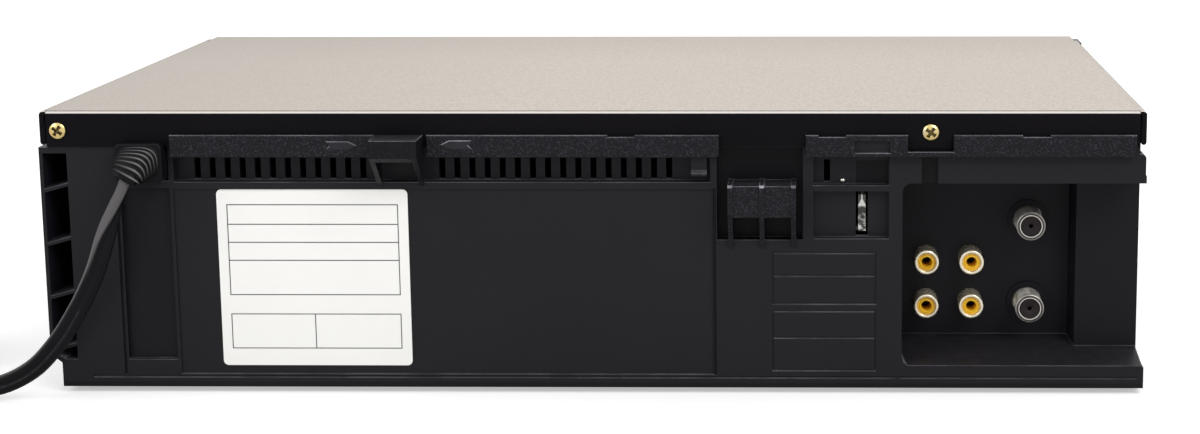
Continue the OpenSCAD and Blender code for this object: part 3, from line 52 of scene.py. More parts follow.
SOFT_BOXES = {  # name: place, point it faces, width, height, watts
    "soft_box_right": ((-1.1, 1.5, 1.5), (0.0, 0.0, 0.05), 1.2, 0.9, 18.0),
    "soft_box_left": ((1.3, 1.2, 1.0), (0.0, 0.0, 0.05), 0.9, 0.9, 7.0),
    "soft_box_top": ((-0.3, -0.5, 1.8), (0.0, 0.0, 0.05), 1.6, 1.2, 10.0),
}


def stand(name, data, place, turning):
    """Links the camera or a lamp into the scene, at a place and turned by a matrix or a quaternion."""
    made = bpy.data.objects.new(name, data)
    bpy.context.collection.objects.link(made)
    made.matrix_world = Matrix.LocRotScale(Vector(place), turning, None)
    return made


lens = bpy.data.cameras.new("camera")
lens.lens, lens.sensor_width, lens.shift_x, lens.clip_start = LENS_MM, SENSOR_MM, SIDE_SHIFT, NEAREST
aim = Euler((math.radians(90 - CAMERA_PITCH), 0.0, math.radians(180 + CAMERA_TURN))).to_matrix()
roll = Matrix.Rotation(math.radians(CAMERA_ROLL), 3, "Z")
bpy.context.scene.camera = stand("camera", lens, CAMERA_PLACE, aim @ roll)
bpy.context.scene.view_settings.view_transform = "Standard"

for name, (place, target, width, height, watts) in SOFT_BOXES.items():
    box_light = bpy.data.lights.new(name, "AREA")
    box_light.shape = "RECTANGLE"
    box_light.size, box_light.size_y, box_light.energy = width, height, watts
    stand(name, box_light, place, (Vector(target) - Vector(place)).to_track_quat("-Z", "Y"))


def add_node(tree, kind, inputs=None, **settings):
    """Adds a shader node, with its settings and with its inputs from numbers or from other nodes' sockets."""
    made = tree.nodes.new("ShaderNode" + kind)
    for key, value in settings.items():
        setattr(made, key, value)
    for key, value in (inputs or {}).items():
        if isinstance(value, bpy.types.NodeSocket):
            tree.links.new(value, made.inputs[key])
        else:
            made.inputs[key].default_value = value
    return made


def maths(tree, operation, first, second=0.0):
    """The sum, product or other combination of two numbers or sockets."""
    return add_node(tree, "Math", {0: first, 1: second}, operation=operation).outputs[0]


def product(tree, first, *others):
    """All the numbers and sockets multiplied together."""
    for other in others:
        first = maths(tree, "MULTIPLY", first, other)
    return first


def carried(tree, value, start, end, low=0.0, high=1.0):
    """A number or socket carried from the span start to end onto low to high, and held level beyond both."""
    span = {"Value": value, "From Min": start, "From Max": end, "To Min": low, "To Max": high}
    return add_node(tree, "MapRange", span).outputs[0]


world = bpy.data.worlds.new("white_room")
world.use_nodes = True
bpy.context.scene.world = world
room = world.node_tree
rays = add_node(room, "LightPath")
seen = maths(room, "MAXIMUM", rays.outputs["Is Camera Ray"], rays.outputs["Is Glossy Ray"])
seen = maths(room, "MAXIMUM", seen, rays.outputs["Is Transmission Ray"])
background = room.nodes["Background"]
background.inputs["Color"].default_value = (1.0, 1.0, 1.0, 1.0)
room.links.new(carried(room, seen, 0.0, 1.0, ROOM_LIGHT), background.inputs["Strength"])

floor_mesh = bpy.data.meshes.new("floor")
corners = [(x * FLOOR_HALF, y * FLOOR_HALF, 0.0) for x, y in ((-1, -1), (1, -1), (1, 1), (-1, 1))]
floor_mesh.from_pydata(corners, [], [(0, 1, 2, 3)])
floor = bpy.data.objects.new("floor", floor_mesh)
bpy.context.collection.objects.link(floor)
paper = bpy.data.materials.new("white_paper")
paper.use_nodes = True
tree = paper.node_tree
tree.nodes.clear()
matt = add_node(tree, "BsdfDiffuse", {"Color": (FLOOR_GREY, FLOOR_GREY, FLOOR_GREY, 1.0)})
rays = add_node(tree, "LightPath")
lift = add_node(tree, "Emission", {"Strength": product(tree, rays.outputs["Is Camera Ray"], FLOOR_LIFT)})
both = add_node(tree, "AddShader", {0: matt.outputs[0], 1: lift.outputs[0]})
add_node(tree, "OutputMaterial", {"Surface": both.outputs[0]})
floor_mesh.materials.append(paper)

# ---------------------------------------------------------------- mains lead
# A flat twin lead in black vinyl: two stranded cores side by side with a shallow valley between them. It
# leaves the boot edge on, turns its broad face to the rear, runs down to the floor and away, and the rest
# lies in a wound coil of four layers, with the plug beside it.
LEAD_WIDTH, LEAD_THICKNESS = 6.4, 3.4
LEAD_ROUTE = np.array([  # x, y, z, turn of the flat section in degrees
    (148, 118, 74, 70), (149.5, 118, 70, 80), (151.5, 118.5, 65, 100), (153.5, 119, 59.5, 130),
    (155.5, 119.5, 53.5, 160), (157.5, 120, 47, 175), (160, 120, 41, 180), (163, 120, 35, 180),
    (166.5, 120, 29, 180), (170.5, 119.5, 23, 180), (175, 119, 17.5, 180), (180, 118, 12.5, 180),
    (186, 117, 8.5, 180), (193, 116, 5.5, 185), (201, 115, 4, 215), (210, 114, 3.2, 245),
    (219, 113.4, 2.3, 262), (228, 113, 1.8, 270), (242, 113, 1.8, 270), (255, 113, 1.8, 270)], float)
COIL_RADIUS, COIL_CENTRE = 42.0, (262.0, 71.0)
COIL_HEIGHT = 1.8
LAYER_TURNS, LAYERS, TURN_PITCH, LAYER_PITCH = 1.8, 4, 7.2, 4.1
TAIL_LENGTH, PLUG_HEIGHT = 52.0, 6.1
TAIL_POINTS, SINK_FROM, SINK_SPAN = 8, 0.3, 0.56  # the tail comes down over this share of its run
LEAD_STEPS, COIL_STEPS = 3, 24  # points between two of the route, and coil points to a turn
VALLEY_DEPTH, VALLEY_HALF = 0.28, 0.5
MARKS_LINE, MARKS_HALF, MARKS_FROM = 0.62, 0.05, 0.045  # share across, half width, and metres along
MARKS_SHARE = 0.14  # how much of the print's colour still shows
LIT_SIDE = -1  # the core that faces the light, +1 or -1 across the section
LIT_BROAD, LIT_NARROWING, LIT_NARROW_AFTER, LIT_EDGE = 0.25, 0.53, 0.045, 0.2
LIT_START, LIT_GAIN, LIT_GAIN_AFTER, LIT_FADE, LIT_FADE_LENGTH = 0.42, 0.12, 0.04, 0.4, 0.2


def unit(vectors):
    """Each vector divided by its own length."""
    return vectors / np.linalg.norm(vectors, axis=-1, keepdims=True)


def coil_points(turns):
    """A spiral that winds in and out again with equal turns to a layer, and climbs a layer as it reverses."""
    swing = turns % (2 * LAYER_TURNS)
    radius = COIL_RADIUS - TURN_PITCH * np.where(swing < LAYER_TURNS, swing, 2 * LAYER_TURNS - swing)
    climb = sum(np.clip((turns - k * LAYER_TURNS) * 2 + 0.5, 0, 1) for k in range(1, LAYERS))
    angle = np.radians(90 - 360 * turns)
    return np.stack([COIL_CENTRE[0] + radius * np.cos(angle), COIL_CENTRE[1] + radius * np.sin(angle),
                     COIL_HEIGHT + LAYER_PITCH * climb], axis=-1)


def smooth_path(points, steps):
    """A cubic between each two points, whose slopes at a point are half the way from the one before it to the
    one after it."""
    p = np.vstack([2 * points[0] - points[1], points, 2 * points[-1] - points[-2]])
    a, b, c, d = (p[k:len(p) - 3 + k, None, :] for k in range(4))
    t = (np.arange(steps) / steps)[None, :, None]
    square, cube = 2 * a - 5 * b + 4 * c - d, 3 * b - a - 3 * c + d
    curve = (2 * b + (c - a) * t + square * t ** 2 + cube * t ** 3) / 2
    return np.vstack([curve.reshape(-1, points.shape[1]), points[-1:]])


def loft(rings, ends=True):
    """A closed surface through rings of equal count: quads between neighbours, and a fan over each end."""
    count, size = rings.shape[:2]
    points = rings.reshape(-1, 3)
    i, j = np.meshgrid(np.arange(count - 1), np.arange(size), indexing="ij")
    k = (j + 1) % size
    quads = np.stack([i * size + j, (i + 1) * size + j, (i + 1) * size + k, i * size + k], axis=-1)
    quads = quads.reshape(-1, 4)
    if not ends:
        return points, quads, np.zeros((0, 3), int)
    points = np.vstack([points, rings[0].mean(axis=0), rings[-1].mean(axis=0)])
    j = np.arange(size)
    k = (j + 1) % size
    last = (count - 1) * size
    fans = [np.stack([j, k, np.full(size, count * size)], axis=-1),
            np.stack([last + k, last + j, np.full(size, count * size + 1)], axis=-1)]
    return points, quads, np.vstack(fans)


def turned_outwards(shape):
    """The same surface with its faces reversed where the volume they enclose comes out negative."""
    points, quads, fans = shape
    parts = np.vstack([quads[:, [0, 1, 2]], quads[:, [0, 2, 3]], fans])
    a, b, c = (points[parts[:, n]] for n in range(3))
    if np.einsum("ij,ij->i", a, np.cross(b, c)).sum() < 0:
        return points, quads[:, ::-1], fans[:, ::-1]
    return shape


def make_piece(name, shapes, material, sharp=35.0):
    """One object from several surfaces: corners and faces one after another, smooth below the sharp angle."""
    points, faces, start = [], [], 0
    for shape in shapes:
        corners, quads, fans = turned_outwards(shape)
        points.append(corners)
        faces += (quads + start).tolist() + (fans + start).tolist()
        start += len(corners)
    mesh = bpy.data.meshes.new(name)
    mesh.from_pydata(np.vstack(points).tolist(), [], faces)
    mesh.polygons.foreach_set("use_smooth", np.ones(len(mesh.polygons), bool))
    mesh.set_sharp_from_angle(angle=math.radians(sharp))
    mesh.materials.append(material)
    piece = bpy.data.objects.new(name, mesh)
    bpy.context.collection.objects.link(piece)
    return piece


def tone(red, green, blue):
    """A colour from screen values of 0 to 255, as linear light."""
    value = np.array([red, green, blue]) / 255
    return tuple(np.where(value < 0.04045, value / 12.92, ((value + 0.055) / 1.055) ** 2.4)) + (1.0,)


def place_of(tree):
    """The point's place on its piece, in metres."""
    return add_node(tree, "TexCoord").outputs["Object"]


def split(tree, vector):
    """The three parts of a vector, by the names X, Y and Z or by number."""
    return add_node(tree, "SeparateXYZ", {0: vector}).outputs


def attribute(tree, key):
    """The number that note_points wrote for the point."""
    return add_node(tree, "Attribute", attribute_name=key).outputs["Fac"]


def noise(tree, place, scale, detail=2.0):
    """Soft blots about one over the scale wide, as numbers round a half."""
    return add_node(tree, "TexNoise", {"Vector": place, "Scale": scale, "Detail": detail}).outputs[0]


def finish(name, colour, roughness, drift=0.12, cloud=0.03, grain=0.0005, relief=0.00002,
           metallic=0.0, specular=0.5, coat=0.0, stretch=(1, 1, 1), rough_drift=0.08):
    """A material whose colour and roughness drift in soft clouds, with fine grain in its relief: cloud and
    grain are their sizes in metres, drift the share by which the colour strays. Its bump is named relief."""
    made = bpy.data.materials.new(name)
    made.use_nodes = True
    tree = made.node_tree
    shader = tree.nodes["Principled BSDF"]
    place = add_node(tree, "Mapping", {"Vector": place_of(tree), "Scale": stretch}).outputs[0]
    clouds = noise(tree, place, 1 / cloud, 4.0)
    base = np.array(colour[:3])
    low, high = (tuple(np.minimum(base * (1 + way * drift), 1.0)) + (1.0,) for way in (-1, 1))
    tint = add_node(tree, "Mix", {0: clouds, 6: low, 7: high}, data_type="RGBA").outputs[2]
    gloss = carried(tree, clouds, 0.3, 0.7, roughness - rough_drift, roughness + rough_drift)
    bump = add_node(tree, "Bump", {"Height": noise(tree, place, 1 / grain, 3.0), "Distance": relief,
                                   "Strength": 1.0})
    bump.name = "relief"
    for key, socket in (("Base Color", tint), ("Roughness", gloss), ("Normal", bump.outputs[0])):
        tree.links.new(socket, shader.inputs[key])
    for key, value in (("Metallic", metallic), ("Specular IOR Level", specular), ("Coat Weight", coat)):
        shader.inputs[key].default_value = value
    return made


def repaint(material, mask, colour):
    """Puts a second colour over the material's own where the mask is 1."""
    tree = material.node_tree
    shader = tree.nodes["Principled BSDF"]
    under = shader.inputs["Base Color"].links[0].from_socket
    over = add_node(tree, "Mix", {0: mask, 6: under, 7: colour}, data_type="RGBA")
    tree.links.new(over.outputs[2], shader.inputs["Base Color"])


vinyl = finish("black_vinyl", tone(14, 13, 16), 0.34, drift=0.2, cloud=0.02, grain=0.0004, relief=0.00001,
               specular=0.1)
tree = vinyl.node_tree
along, across = (attribute(tree, key) for key in ("along", "across"))
marks = add_node(tree, "TexNoise", {"W": product(tree, along, 900.0)}, noise_dimensions="1D").outputs[0]
off_line = maths(tree, "ABSOLUTE", maths(tree, "SUBTRACT", across, MARKS_LINE))
printed = maths(tree, "GREATER_THAN", marks, 0.55)
marks = product(tree, printed, maths(tree, "GREATER_THAN", along, MARKS_FROM),
                maths(tree, "LESS_THAN", off_line, MARKS_HALF), MARKS_SHARE)
repaint(vinyl, marks, tone(150, 150, 152))
# Painted highlight: the lead's lit core and the boot's rib tops are painted paler where light catches them.
repaint(vinyl, attribute(tree, "painted_highlight"), tone(134, 131, 133))

all_turns = LAYERS * LAYER_TURNS
coil_turns = np.append(np.arange(int(all_turns * COIL_STEPS) + 1) / COIL_STEPS, all_turns - 0.01)
wound = coil_points(coil_turns)
end_angle = math.radians(90 - 360 * all_turns)
tail_way = np.array([math.sin(end_angle), -math.cos(end_angle), 0.0])
share = np.arange(1, TAIL_POINTS + 1) / TAIL_POINTS
sink = (1 - np.cos(np.pi * np.clip((share - SINK_FROM) / SINK_SPAN, 0, 1))) / 2
tail = wound[-1] + tail_way * (TAIL_LENGTH * share)[:, None]
tail[:, 2] += (PLUG_HEIGHT - wound[-1, 2]) * sink
lead_start = np.array([(COIL_CENTRE[0] - LEAD_WIDTH, COIL_CENTRE[1] + COIL_RADIUS, COIL_HEIGHT)])
centre = smooth_path(np.vstack([LEAD_ROUTE[:, :3], lead_start, wound[:-1], tail]), LEAD_STEPS)
turn = np.radians(smooth_path(LEAD_ROUTE[:, 3:], LEAD_STEPS)[:, 0])
heading = unit(np.gradient(centre, axis=0))
level_side = unit(np.cross([0.0, 0.0, 1.0], heading))
first = unit(np.cross(heading[:len(turn)], [0.0, 1.0, 0.0]))
second = np.cross(heading[:len(turn)], first)
level_side[:len(turn)] = first * np.cos(turn)[:, None] + second * np.sin(turn)[:, None]
upper_side = np.cross(heading, level_side)


def lead_outline(width, thickness):
    """Two half circles joined by flat sides, each side with a narrow valley at its middle."""
    radius = thickness / 2
    flat = width / 2 - radius
    arc = np.radians(np.linspace(-90, 90, 9))
    inner = np.linspace(1, -1, 9)[1:-1]
    dip = radius - VALLEY_DEPTH * np.exp(-(inner * flat / VALLEY_HALF) ** 2)
    right = np.stack([flat + radius * np.cos(arc), radius * np.sin(arc)], axis=-1)
    top = np.stack([inner * flat, dip], axis=-1)
    return np.vstack([right, top, -right, -top])


outline = lead_outline(LEAD_WIDTH, LEAD_THICKNESS)
rings = centre[:, None] + level_side[:, None] * outline[:, :1] + upper_side[:, None] * outline[:, 1:]
mains_lead = make_piece("mains_lead", [loft(rings / 1000)], vinyl, 60.0)
travel = np.append(0, np.cumsum(np.linalg.norm(np.diff(centre, axis=0), axis=1))) / 1000
# The painted highlight is a band, broad at the boot, that narrows to the lit core's edge, where it gains at
# first and fades later.
lit_from = LIT_BROAD + LIT_NARROWING * np.clip(travel / LIT_NARROW_AFTER, 0, 1)[:, None]
edge = np.clip((LIT_SIDE * outline[:, 0] / (LEAD_WIDTH / 2) - lit_from) / LIT_EDGE, 0, 1)
edge *= (LIT_START + LIT_GAIN * np.clip(travel / LIT_GAIN_AFTER, 0, 1)
         - LIT_FADE * np.clip(travel / LIT_FADE_LENGTH - 0.5, 0, 1))[:, None]


def note_points(piece, key, values):
    """Writes one number for each point of a piece, which its material reads by name. Points past the list
    get 0."""
    full = np.zeros(len(piece.data.vertices), np.float32)
    full[:len(values)] = values
    piece.data.attributes.new(key, "FLOAT", "POINT").data.foreach_set("value", full)


note_points(mains_lead, "along", np.repeat(travel, len(outline)))
note_points(mains_lead, "across", np.tile(outline[:, 0] / LEAD_WIDTH + 0.5, len(centre)))
note_points(mains_lead, "painted_highlight", edge.ravel())
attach(mains_lead, "body")
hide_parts("power_cord", "cord_coil")

# ---------------------------------------------------------------- mains plug
# The flat two-pin plug is moulded on the lead's end in the same vinyl, with grip ribs and a waist, and its
# two blades are stamped brass, nickel plated, each with a round hole.
PLUG_STATIONS = np.array([  # distance from the lead, half width, half height
    (0, 3.6, 2.3), (0.8, 4.0, 2.6), (9.6, 4.8, 3.3), (10.4, 6.0, 4.0), (11.5, 7.6, 4.3), (13.5, 10.4, 5.2),
    (15.6, 11.7, 5.9), (18, 12, 6), (20, 11.5, 5.7), (22, 12, 6), (24, 11.5, 5.7), (26, 12, 6), (28, 12, 6),
    (30.4, 11.5, 5.5), (33, 11, 5.2), (34, 10.4, 4.7)], float)
PLUG_STARTS = wound[-1] * [1, 1, 0] + [0, 0, PLUG_HEIGHT] + tail_way * TAIL_LENGTH
BLADE_LENGTH, BLADE_HALF, BLADE_THICKNESS, BLADE_SPREAD, BLADE_HOLE = 17.0, 3.18, 1.5, 6.35, 1.6
BLADE_ROOT, BLADE_BREAK, HOLE_FROM_TIP = 33.8, 0.25, 4.0


def full_turn(count):
    """Angles round a circle, the first at zero."""
    return np.arange(count) * 2 * np.pi / count


def squircle(power, count=40):
    """Points of a rounded square of half width 1: cosine and sine to the power of 2 / power, with their
    signs kept."""
    c, s = np.cos(full_turn(count)), np.sin(full_turn(count))
    return np.stack([np.sign(c) * abs(c) ** (2 / power), np.sign(s) * abs(s) ** (2 / power)], axis=-1)


plug_side = np.array([-tail_way[1], tail_way[0], 0.0])
up = np.array([0.0, 0.0, 1.0])
form = squircle(3.6)
along_plug = PLUG_STARTS + tail_way * PLUG_STATIONS[:, :1]
rings = (along_plug[:, None] + plug_side * (PLUG_STATIONS[:, 1:2] * form[:, 0])[..., None]
         + up * (PLUG_STATIONS[:, 2:3] * form[:, 1])[..., None])
plug_body = make_piece("plug_body", [loft(rings / 1000)], vinyl, 40.0)
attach(plug_body, "body")
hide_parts("power_plug")


def blade(side):
    """A flat bar with a hole: on both faces, rays from the hole's centre run from its edge to the outline."""
    hole_at = BLADE_LENGTH - HOLE_FROM_TIP
    corners = [math.atan2(s * BLADE_HALF, d - hole_at) for s in (-1, 1) for d in (0.0, BLADE_LENGTH - 1.2)]
    angle = np.unique(np.append(np.linspace(-np.pi, np.pi, 33)[:-1], corners))
    c, s = np.cos(angle), np.sin(angle)
    reach_u = np.where(c > 0, BLADE_LENGTH - hole_at, hole_at) / np.maximum(abs(c), 1e-9)
    reach = np.minimum(reach_u, BLADE_HALF / np.maximum(abs(s), 1e-9))
    inner = np.stack([hole_at + BLADE_HOLE * c, BLADE_HOLE * s], axis=-1)
    outer = np.stack([hole_at + reach * c, reach * s], axis=-1)
    half = BLADE_THICKNESS / 2
    rim = outer + BLADE_BREAK * unit(inner - outer)
    flat = [(inner, -half), (rim, -half), (outer, BLADE_BREAK - half), (outer, half - BLADE_BREAK),
            (rim, half), (inner, half), (inner, -half)]
    base = PLUG_STARTS + tail_way * BLADE_ROOT + plug_side * side * BLADE_SPREAD
    rings = np.array([base + tail_way * uv[:, :1] + up * uv[:, 1:] + plug_side * w for uv, w in flat])
    return loft(rings / 1000, ends=False)


nickel = finish("nickel_plate", tone(196, 194, 188), 0.24, drift=0.06, grain=0.0003, relief=0.000004,
                metallic=1.0, stretch=(1, 1, 4))
plug_blades = make_piece("plug_blades", [blade(-1), blade(1)], nickel, 40.0)
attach(plug_blades, "body")

# ---------------------------------------------------------------- lead boot
# Where the lead enters, a keyed block of soft vinyl fills the notch under the lid's flange. Its elbow turns
# down out of the block, narrows to the lead's width, and carries eight ribs that let it bend.
BOOT_BLOCK = (-153.75, -138.25, 69.3, 82.0)  # left, right, bottom and top seen from behind
BOOT_DEPTHS = (-6.0, 5.7)
ELBOW_START, ELBOW_END = np.array([146.0, 108.5, 78.0]), np.array([148.0, 118.0, 74.0])
ELBOW_WIDTHS, ELBOW_HEIGHTS = (13.4, 8.0), (10.4, 7.2)
ELBOW_RIBS, RIB_CROWDING, RIB_RISE, RIBS_END = 8, 1.06, 0.085, 0.94  # crowded to end short of the elbow's end
REAR_FACE, FOOT_RISE = 104.0, 2.0  # where the rear face and the underside of the bottom plate stand


def rear(x, depth, z):
    """Metres from millimetres: x to the right seen from behind, depth into the set from its rear face, z up
    from its bottom plate."""
    places = np.broadcast_arrays(-np.asarray(x, float), REAR_FACE - depth, FOOT_RISE + z)
    return np.stack(places, axis=-1) / 1000


def rounded_outline(width, height, radius, count=6):
    """Quarter circles about the inner corners of a rectangle centred on zero, anticlockwise."""
    radius = max(min(radius, width / 2, height / 2), 1e-4)
    arc = np.radians(np.linspace(0, 90, count))
    quarters = []
    for turn, (sx, sy) in enumerate(((1, 1), (-1, 1), (-1, -1), (1, -1))):
        angle = arc + turn * np.pi / 2
        quarters.append(np.stack([sx * (width / 2 - radius) + radius * np.cos(angle),
                                  sy * (height / 2 - radius) + radius * np.sin(angle)], axis=-1))
    return np.vstack(quarters)


def plate(place, left, right, bottom, top, front, back, radius, bevel):
    """A rounded rectangle carried from front to back, drawn in by a quarter circle of the bevel's size at
    both ends. place turns (sideways, depth, height) into metres."""
    arc = np.radians(np.linspace(0, 90, 4))
    insets = np.concatenate([bevel * (1 - np.sin(arc)), bevel * (1 - np.sin(arc))[::-1]])
    depths = np.concatenate([front + bevel * (1 - np.cos(arc)), back - bevel * (1 - np.cos(arc))[::-1]])
    rings = []
    for inset, depth in zip(insets, depths):
        flat = rounded_outline(right - left - 2 * inset, top - bottom - 2 * inset, radius - inset)
        rings.append(place((left + right) / 2 + flat[:, 0], depth, (bottom + top) / 2 + flat[:, 1]))
    return loft(np.array(rings))


t = np.linspace(0, 1, 97)[:, None]
elbow = np.hstack([
    ELBOW_START[0] + (ELBOW_END[0] - ELBOW_START[0]) * t ** 2,
    ELBOW_START[1] + (ELBOW_END[1] - ELBOW_START[1]) * np.sin(np.pi / 2 * t),
    ELBOW_END[2] + (ELBOW_START[2] - ELBOW_END[2]) * np.cos(np.pi / 2 * t)])
heading = unit(np.gradient(elbow, axis=0))
sideways = unit(np.cross(heading, np.cross([1.0, 0.0, 0.0], heading)))
upwards = np.cross(sideways, heading)
wave = (ELBOW_RIBS * t * RIB_CROWDING) % 1.0
ribs = 1 + RIB_RISE * np.clip(2.6 * np.sin(np.pi * wave) - 0.9, 0, 1) * (t < RIBS_END)
width = (ELBOW_WIDTHS[0] + (ELBOW_WIDTHS[1] - ELBOW_WIDTHS[0]) * t) / 2 * ribs
height = (ELBOW_HEIGHTS[0] + (ELBOW_HEIGHTS[1] - ELBOW_HEIGHTS[0]) * t) / 2 * ribs
form = squircle(3.0, 36)
rings = (elbow[:, None] + sideways[:, None] * (width * form[:, 0])[..., None]
         + upwards[:, None] * (height * form[:, 1])[..., None])
left, right, foot, top = BOOT_BLOCK
lead_boot = make_piece("lead_boot", [
    loft(rings / 1000),
    plate(rear, left, right, foot, top, BOOT_DEPTHS[0], -1.0, 1.8, 0.7),
    plate(rear, left, right, foot, 80.0, -1.2, 2.6, 1.4, 0.2),
    plate(rear, left - 2, right, foot - 1, 80.0, 2.5, BOOT_DEPTHS[1], 1.2, 0.3)], vinyl, 50.0)
# Painted highlight on the top of each rib, on its lit side and its upper half.
rib_highlight = np.clip((np.sin(np.pi * wave) - 0.88) / 0.12, 0, 1) * (t < RIBS_END)
rib_highlight = rib_highlight * np.clip(0.45 - 0.55 * form[:, 0], 0.05, 0.8) * np.clip(0.5 + form[:, 1], 0, 1)
note_points(lead_boot, "painted_highlight", rib_highlight.ravel())
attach(lead_boot, "body")
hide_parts("strain_relief")

# ---------------------------------------------------------------- cabinet
# The tub is one moulding of black flame-retardant plastic with a fine spark-eroded grain. The rails and the
# spacer stand proud and carry a coarser pebble grain, and dust has settled on what faces up. Painted shade
# darkens its recesses, hollows and bays, painted glints fleck the proud parts, and painted highlights pale
# its upward edges.
black_moulding = finish("black_moulding", tone(31, 30, 34), 0.42, drift=0.14, cloud=0.05, grain=0.0006,
                        relief=0.00004, specular=0.12, rough_drift=0.06)


def within(tree, spot, low, high):
    """1 inside a box given by two corners in metres, and 0 outside it: on each axis, the place is nearer the
    box's middle than half its side."""
    apart = split(tree, spot)
    mask = 1.0
    for axis in range(3):
        middle, half = (low[axis] + high[axis]) / 2, (high[axis] - low[axis]) / 2
        away = maths(tree, "ABSOLUTE", maths(tree, "SUBTRACT", apart[axis], middle))
        mask = product(tree, maths(tree, "LESS_THAN", away, half), mask)
    return mask


def paint_edge_highlight(material, radius, colour, strength):
    """Paints highlights on the rounded edges that look upwards, where they catch the light: the height of the
    rounded normal, carried from 0.2 to 0.6, times the share by which it falls short of straight up, times a
    fine break-up."""
    tree = material.node_tree
    height = split(tree, add_node(tree, "Bevel", {"Radius": radius}, samples=4).outputs[0])["Z"]
    broken = carried(tree, noise(tree, place_of(tree), 90.0, 3.0), 0.35, 0.6, 0.35)
    mask = product(tree, carried(tree, height, 0.2, 0.6), carried(tree, height, 0.99, 0.8), broken, strength)
    repaint(material, mask, colour)


def facing_up(tree):
    """How far the face looks up: the height of its normal, 1 on a level top."""
    return split(tree, add_node(tree, "NewGeometry").outputs["Normal"])["Z"]


PAINTED_SHADE_ZONES = (  # two corners of a box in metres, and the painted shade colour of the plastic inside it
    ((-0.0686, 0.0970, 0.0500), (-0.0400, 0.1037, 0.0822), tone(8, 7, 12)),  # the bay behind the spacer
    ((-0.1815, 0.0600, 0.0060), (-0.1002, 0.1030, 0.0701), tone(23, 21, 26)),  # the recess round the jacks
    ((0.1370, 0.1000, 0.0100), (0.1545, 0.1035, 0.0690), tone(23, 21, 25)),  # the sunk panel
    ((0.1660, 0.0000, 0.0100), (0.1793, 0.1035, 0.0780), tone(32, 30, 38)),  # the hollow of the side
    ((-0.0960, 0.0990, 0.0696), (-0.0856, 0.1036, 0.0772), tone(13, 11, 15)),  # the pocket over the clip
    ((-0.1120, 0.1000, 0.0700), (-0.1068, 0.1046, 0.0824), tone(12, 11, 14)))  # the shade under the lid's tab
PROUD_FROM, PROUD_FULL = 0.1062, 0.1068  # the rails and the spacer stand beyond these depths
HOOK_BOX = (0.0535, 0.1066, 0.0500), (0.0705, 0.1190, 0.0900)
AERIAL_WALL = (-0.1530, 0.0700, 0.0150), (-0.1340, 0.0752, 0.0640)  # the recess's painted shade is painted again here, over the painted edge highlights

tree = black_moulding.node_tree
spot = place_of(tree)
# Painted shade: inside each zone the plastic is painted darker, where shade falls in the hollows.
for low, high, colour in PAINTED_SHADE_ZONES:
    repaint(black_moulding, within(tree, spot, low, high), colour)
proud = carried(tree, split(tree, spot)["Y"], PROUD_FROM, PROUD_FULL)
repaint(black_moulding, product(tree, proud, 0.8), tone(21, 20, 25))
relief = tree.nodes["relief"].inputs["Height"]
pebbles = add_node(tree, "TexVoronoi", {"Vector": spot, "Scale": 1500.0}, feature="SMOOTH_F1")
pebbles = product(tree, pebbles.outputs["Distance"], proud, 2.2)
tree.links.new(maths(tree, "ADD", relief.links[0].from_socket, pebbles), relief)
# Painted glints: pale specks on the proud rails and spacer, for light caught by the pebble grain.
painted_glints = carried(tree, noise(tree, spot, 2300.0), 0.54, 0.74, 0.0, 0.3)
repaint(black_moulding, product(tree, painted_glints, proud), tone(104, 101, 110))
repaint(black_moulding, product(tree, within(tree, spot, *HOOK_BOX), 0.7), tone(14, 13, 17))
dust = product(tree, carried(tree, facing_up(tree), 0.5, 1.0, 0.0, 0.2), noise(tree, spot, 260.0, 6.0))
repaint(black_moulding, dust, tone(92, 91, 94))
# Painted highlights on the moulding's upward edges, stronger on the proud rails and spacer.
highlight_strength = maths(tree, "ADD", product(tree, proud, 0.5), 0.42)
paint_edge_highlight(black_moulding, 0.0005, tone(172, 169, 179), highlight_strength)
# The wall round the aerials takes the recess's painted shade again, without painted edge highlights.
repaint(black_moulding, within(tree, spot, *AERIAL_WALL), tone(23, 21, 26))


def dress(material, *names):
    """Gives CAD nodes one finish, in place of the plain colours that they come with."""
    for name in names:
        for place in nodes[name].material_slots:
            place.material = material


dress(black_moulding, "cabinet_frame")

# ---------------------------------------------------------------- arrows on the rail
# Two arrows are moulded on the first rail, one each side of the hook, as raised bars with a pointed head.
ARROW_PLACES = ((-80.6, 81.0, 1), (-43.4, 81.3, -1))  # middle across the rear face, height, way it points
ARROW_HALF, ARROW_TAIL, ARROW_RISE, RAIL_DEPTH = 5.1, 1.5, 0.3, -3.2
ARROW_SHAPE = np.array([(-1.0, -1.0), (0.45, -1.0), (1.0, 0.0), (0.45, 1.0), (-1.0, 1.0), (-0.75, 0.0)])
ARROW_STEPS = (  # how far the outline is drawn in, and the depth, from its top down to the rail
    (0.35, RAIL_DEPTH - ARROW_RISE), (0.1, RAIL_DEPTH - ARROW_RISE + 0.1), (0.0, RAIL_DEPTH + 0.05))
# The arrows are painted a paler black with strong painted highlights on their edges, for the light they
# catch.
arrow_black_painted_highlight = finish("arrow_black_painted_highlight", tone(40, 39, 44), 0.36, drift=0.2, cloud=0.004, grain=0.0003,
                    relief=0.00001, specular=0.16)
paint_edge_highlight(arrow_black_painted_highlight, 0.0004, tone(190, 188, 196), 0.9)


def arrow(middle, height, way):
    """A low wedge: a bar that ends in a point at one end and a notch at the other, raised from the rail."""
    u, v = way * ARROW_SHAPE[:, 0], ARROW_SHAPE[:, 1]
    return loft(np.array([rear(middle + u * (ARROW_HALF - inset), depth, height + v * (ARROW_TAIL - inset))
                          for inset, depth in ARROW_STEPS]))


rail_arrows = make_piece("rail_arrows", [arrow(*place) for place in ARROW_PLACES], arrow_black_painted_highlight, 20.0)
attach(rail_arrows, "body")

